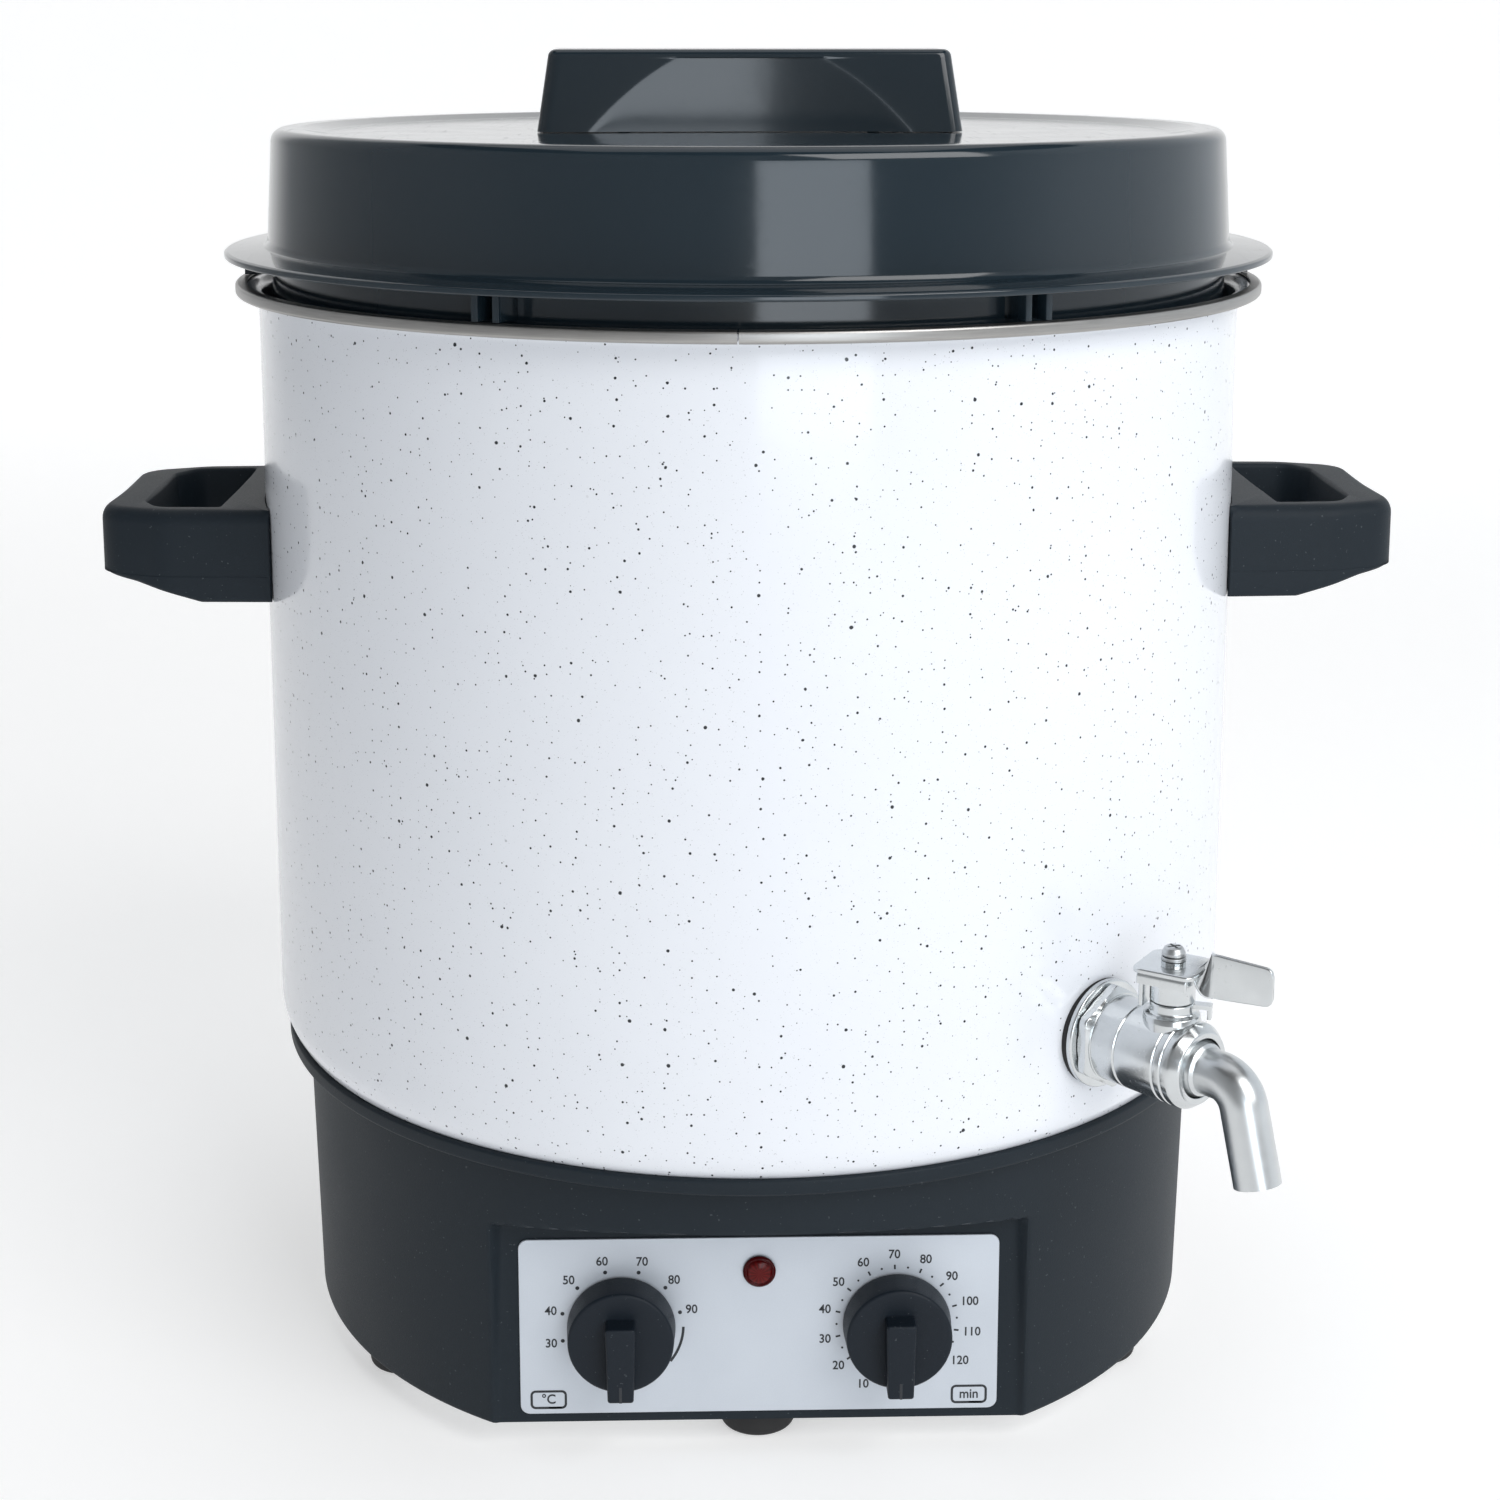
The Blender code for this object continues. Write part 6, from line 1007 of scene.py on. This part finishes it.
# Tail, chamfered hexagon, grooved barrel and rounded shoulder outside; bore, ball room and socket inside;
# then the neck, turned about the stem, and the stop tab.
def makeTapBody(p):
    (start, tail), (low, high), r, half = p.tail, p.hex, p.barrel, p.grooveWidth / 2
    corners = [(tail, start, 0.0004), (tail, low, 0.0002), (p.halfAcross, low, 0.0002),
               (p.hexCorner, low + 0.0007, 0.0004), (p.hexCorner, high - 0.0011, 0.001),
               (p.halfAcross - 0.0006, high, 0.0003), (r, high, 0.0004)]
    for place in p.grooves:
        corners += [(r, place - half, 0.0003), (r - p.grooveDepth, place, 0.0002), (r, place + half, 0.0003)]
    corners += [(r, p.shoulder, 0.0022), (p.endRadius, p.end, 0.0012), (p.cavity, p.end, 0.0003),
                (p.cavity, p.room, 0.0003), (p.bore, p.room, 0.0003), (p.bore, start, 0.0003)]
    barrel = turned(finer(loopPath(corners, 6), 0.0025), 192, hexCut(p.halfAcross, p.hexFrom))
    neck = turned(finer(loopPath(p.neck, 5), 0.0015), 96)
    out, half, step, high = p.stopReach, p.stopHalf, p.stopStep, p.stopHigh
    arm = block((p.stopStart, -half, high - p.stopSheet), (out, half, high))
    leg = block((out - p.stopSheet, -half + step, p.stopLow), (out - step, half - step, high - step))
    hook = laid(gather(arm, leg), ballAt, *swung(outWay, sideWay, p.stopTurn), upWay)
    surface = gather(alongPipe(barrel), aboutStem(neck), hook)
    piece("tap_barrel", surface, ["tap_body"], sharp=28)


makeTapBody(tap)

spout = Sizes(
    start=0.2144, bodyEnd=0.2183, run=0.0068, bend=0.01, slant=15.0, drop=0.0314, radius=0.00765, wall=0.0012,
    tail=0.0094, collar=0.0086, collarFrom=-0.0005, collarTo=0.0012, straightRows=11, downRows=15, columns=96,
)


# A circle carried along the centre line: straight out, round a bend, then down at a slant. The rows go out
# along the outside and come back along the bore.
def makeSpout(p):
    turn, bendAt = math.radians(90 - p.slant), p.bodyEnd + p.run
    t, n, m = np.linspace(0, turn, 25), p.straightRows, p.downRows
    bend = np.column_stack([bendAt + p.bend * np.sin(t), -p.bend * (1 - np.cos(t))])
    length = (p.drop + bend[-1, 1]) / math.sin(turn)
    down = bend[-1] + np.linspace(0, length, m + 1)[1:, None] * np.array([math.cos(turn), -math.sin(turn)])
    straight = np.column_stack([np.linspace(p.start, bendAt, n + 1)[:-1], np.zeros(n)])
    line = np.concatenate([straight, bend, down])
    heading = np.concatenate([np.zeros(n), t, np.full(m, turn)])
    past = line[:, 0] - p.bodyEnd
    outer = np.where(past < p.collarFrom, p.tail, np.where(past < p.collarTo, p.collar, p.radius))
    line = np.concatenate([line, line[-1:], line[::-1]])
    heading = np.concatenate([heading, heading[-1:], heading[::-1]])
    radius = np.concatenate([outer, [p.radius - p.wall / 2], np.full(len(outer), p.radius - p.wall)])
    angle = np.arange(p.columns) * tau / p.columns
    rise, across = radius[:, None] * np.cos(angle), radius[:, None] * np.sin(angle)
    along = line[:, 0, None] + rise * np.sin(heading)[:, None]
    high = line[:, 1, None] + rise * np.cos(heading)[:, None]
    grid = pipeAxis + along[..., None] * outWay + across[..., None] * sideWay + high[..., None] * upWay
    piece("tap_outlet", tube(grid, True), ["tap_spout"], sharp=40, coat="satin_steel")


makeSpout(spout)

lever = Sizes(
    low=0.03, sheet=0.0018, half=0.0105, corner=0.0034, edgeShare=0.3, thinShare=0.9, skirt=0.005,
    skirtHalf=0.00846, stop=0.015, stopHalf=0.0035, fold=0.002, foldFrom=0.006, turn=17.0,
    bladeFrom=0.0065, bladeStart=0.015, reach=0.0335, twistFrom=0.008, twistRun=0.006, neckHalf=0.006,
    rootLow=-0.0073, rootHigh=0.0074, endLow=-0.0065, endHigh=0.0062, endRound=0.0026, endShare=0.9,
    sectionCorner=0.32,
)


# Sheet metal: a rounded cross-section carried along a line. across is the way of its width at each point.
def ribbon(line, across, halfWidth, sheet, corner):
    run = np.gradient(line, axis=0)
    across = across / np.linalg.norm(across, axis=1)[:, None]
    normal = np.cross(run, across)
    normal /= np.linalg.norm(normal, axis=1)[:, None]
    rows = []
    for centre, a, n, half in zip(line, across, normal, halfWidth):
        section = roundedBox(half, sheet / 2, sheet * corner, 4)
        rows.append(centre + section[:, :1] * a + section[:, 1:] * n)
    return tube(np.stack(rows))


# Cap plate over the stem, a skirt and a stop folded down from two of its edges, and the blade, whose sheet
# turns from flat to upright as it leaves the cap: its width points along cos(t) side + sin(t) up.
def makeLever(p):
    s, thin, corner = p.sheet, p.sheet * p.thinShare, p.sectionCorner
    parts = [rolledBox(p.half, p.half, p.corner, 0, s, s * p.edgeShare, s * p.edgeShare)]
    for way, drop, half, other in (((0, -1), p.skirt, p.skirtHalf, (1, 0, 0)),
                                   ((-1, 0), p.stop, p.stopHalf, (0, 1, 0))):
        edge = p.half - s / 2
        flat = finer(arcPath([(edge - p.foldFrom, s / 2), (edge, s / 2, p.fold), (edge, s - drop)]), 0.001)
        line = np.column_stack([flat[:, :1] * way[0], flat[:, :1] * way[1], flat[:, 1:]])
        across = np.tile(np.array(other, float), (len(line), 1))
        parts.append(ribbon(line, across, [half] * len(line), thin, corner))
    x = np.concatenate([np.linspace(p.bladeFrom, p.bladeStart, 22),
                        np.linspace(p.bladeStart, p.reach, 40)[1:]])
    t = np.clip((x - p.twistFrom) / p.twistRun, 0, 1)
    t = t * t * (3 - 2 * t) * math.pi / 2
    far = np.clip((x - p.bladeStart) / (p.reach - p.bladeStart), 0, 1)
    low, high = mix(p.rootLow, p.endLow, far), mix(p.rootHigh, p.endHigh, far)
    past = np.clip(x - (p.reach - p.endRound), 0, p.endRound)
    half = (high - low) / 2 - (p.endRound - np.sqrt(p.endRound ** 2 - past ** 2)) * p.endShare
    half = np.where(far > 0, half, mix(p.neckHalf, half[0], np.sin(t)))
    middle = mix(s / 2, (high + low) / 2, np.sin(t))
    line = np.column_stack([x, np.zeros(len(x)), middle])
    parts.append(ribbon(line, np.column_stack([t * 0, np.cos(t), np.sin(t)]), half, thin, corner))
    surface = laid(gather(*parts), ballAt + upWay * p.low, *swung(outWay, sideWay, p.turn), upWay)
    piece("tap_handle_plate", surface, ["tap_lever"], "tap_handle")


makeLever(lever)

hub = Sizes(
    nut=(0.0197, 0.0297), nutRadius=0.0082, nutWaist=0.0073, nutCap=(0.0032, 0.0036), stem=0.0042,
    washer=(0.0331, 0.0343), washerRadius=0.004, washerHole=0.0021, head=(0.0346, 0.0375), headRadius=0.0038,
    headTopShare=0.76, headSide=0.001, shank=0.0018, shankLength=0.006, cross=0.0046, crossWidth=0.0009,
    crossDeep=0.0012, crossTurn=0.35,
)


# Packing nut, spring washer and pan-head screw, turned about the stem. The screw's recess is a cross.
def makeHub(p):
    (low, high), (capDown, waistUp), waist = p.nut, p.nutCap, p.nutWaist
    nut = loopPath([
        (p.stem, high, 0.0001), (p.nutRadius, high, 0.0006), (p.nutRadius, high - capDown, 0.0003),
        (waist, high - waistUp, 0.0003), (waist, low, 0.0005), (p.stem, low, 0.0001)], 5)
    piece("tap_gland_nut", aboutStem(turned(nut, 96)), ["tap_packing_nut"])
    washer = ringSection(p.washerHole, p.washerRadius, *p.washer, [0.0002] * 4, 4)
    surface = aboutStem(turned(washer, 64))
    piece("tap_lock_washer", surface, ["tap_spring_washer"], "tap_handle", coat="zinc_plated_steel")
    (low, high), r, shank = p.head, p.headRadius, p.shank
    foot = low - p.shankLength
    head = arcPath([
        (0, foot), (shank, foot, 0.0003), (shank, low, 0.0001), (r, low, 0.0003),
        (r, low + p.headSide, 0.001), (r * p.headTopShare, high, 0.0012), (0, high)], 6)
    surface = aboutStem(turned(head, 96))
    made = piece("tap_screw", surface, ["tap_lever_screw"], "tap_handle", coat="zinc_plated_steel")
    half, thin = p.cross / 2, p.crossWidth / 2
    arm = np.array([(half, -thin), (half, thin), (thin, thin)])
    star = np.concatenate([spin(arm, tau / 4 * k + p.crossTurn) for k in range(4)])
    carve(made, [aboutStem(tube(np.stack([level(star, z) for z in (high - p.crossDeep, high + 0.001)])))])


makeHub(hub)
print("tap made")

# Studio: a round pale floor that bends up into a wall, bright where the camera looks, and soft lights.

studio = Sizes(
    radius=5.0, bend=2.5, rise=5.5, colour=(0.62, 0.62, 0.62), shade=(0.32, 0.32, 0.32), glow=0.63,
    near=(0.78, 0.78, 0.78), white=(1.0, 1.0, 1.0), left=(0.13, 0.14, 0.15), right=(0.78, 0.84, 0.9),
    front=(0.22, 0.225, 0.23), air=0.05, wedgeHalf=0.35, wedgeSpread=0.3, wedgeFrom=-0.95, fade=1.4,
    backFade=(0.8, 2.6), frontFade=(-3.5, -0.5), sideFade=(-4.5, 4.5), shadeFade=(-3.5, -1.0),
    lights=[
        ("keyLight", (1.45, -2.0, 2.15), (0, 0, 0.36), (2.0, 2.0), 57, (1.0, 1.0, 1.0)),
        ("windowLight", (0.5, -2.25, 0.4), (0, 0, 0.4), (1.0, 0.78), 9, (0.84, 0.92, 1.0)),
        ("topLight", (0, 0.5, 3.0), (0, 0.2, 0.3), (2.6, 2.6), 20, (0.97, 0.98, 1.0)),
    ],
)


# A soft light at a place. Its back is turned along (x, y, z), the way from its aim: a tilt of
# atan2(hypot(x, y), z), then a turn of atan2(y, x) + 90 degrees.
def areaLight(name, place, aim, size, power, colour):
    data = bpy.data.lights.new(name, "AREA")
    data.shape, (data.size, data.size_y), data.energy, data.color = "RECTANGLE", size, power, colour
    made = linked(name, data)
    x, y, z = np.array(place, float) - np.array(aim, float)
    made.location = place
    made.rotation_euler = (math.atan2(math.hypot(x, y), z), 0, math.atan2(y, x) + math.pi / 2)


# The glow is white inside the wedge |x| < half + spread (y - from) and falls off beside it.
def glow(place):
    s = studio
    x, y, _ = split(place)
    beside = x.maths("ABSOLUTE") - (y - s.wedgeFrom) * s.wedgeSpread - s.wedgeHalf
    white = y.step(*s.backFade).blend(s.near, s.white)
    sides = y.step(*s.frontFade).blend(s.front, x.step(*s.sideFade).blend(s.left, s.right))
    return {"Emission_Color": beside.step(s.fade, 0.0).blend(sides, white),
            "Base_Color": y.step(*s.shadeFade).blend(s.shade, s.colour),
            "Roughness": 0.85 + noise(place, 0.5) * 0.1}


# Floor and wall as one profile turned about Z, then the faint even light of the air and the three lights.
def makeStudio(s):
    mesh = meshOf("floor", turned(arcPath([(0, 0), (s.radius, 0, s.bend), (s.radius, s.rise)], 24), 96))
    mesh.polygons.foreach_set("use_smooth", np.ones(len(mesh.polygons), bool))
    floor = linked("floor", mesh)
    mesh.materials.append(finish("floor", glow, Emission_Strength=s.glow))
    mesh.materials[0].cycles.emission_sampling = "NONE"
    world = bpy.data.worlds.new("studio")
    world.use_nodes = True
    background = world.node_tree.nodes["Background"].inputs
    background["Color"].default_value, background["Strength"].default_value = (1, 1, 1, 1), s.air
    bpy.context.scene.world = world
    for light in s.lights:
        areaLight(*light)


makeStudio(studio)
bpy.context.scene.view_settings.view_transform = "Standard"
print("studio made")
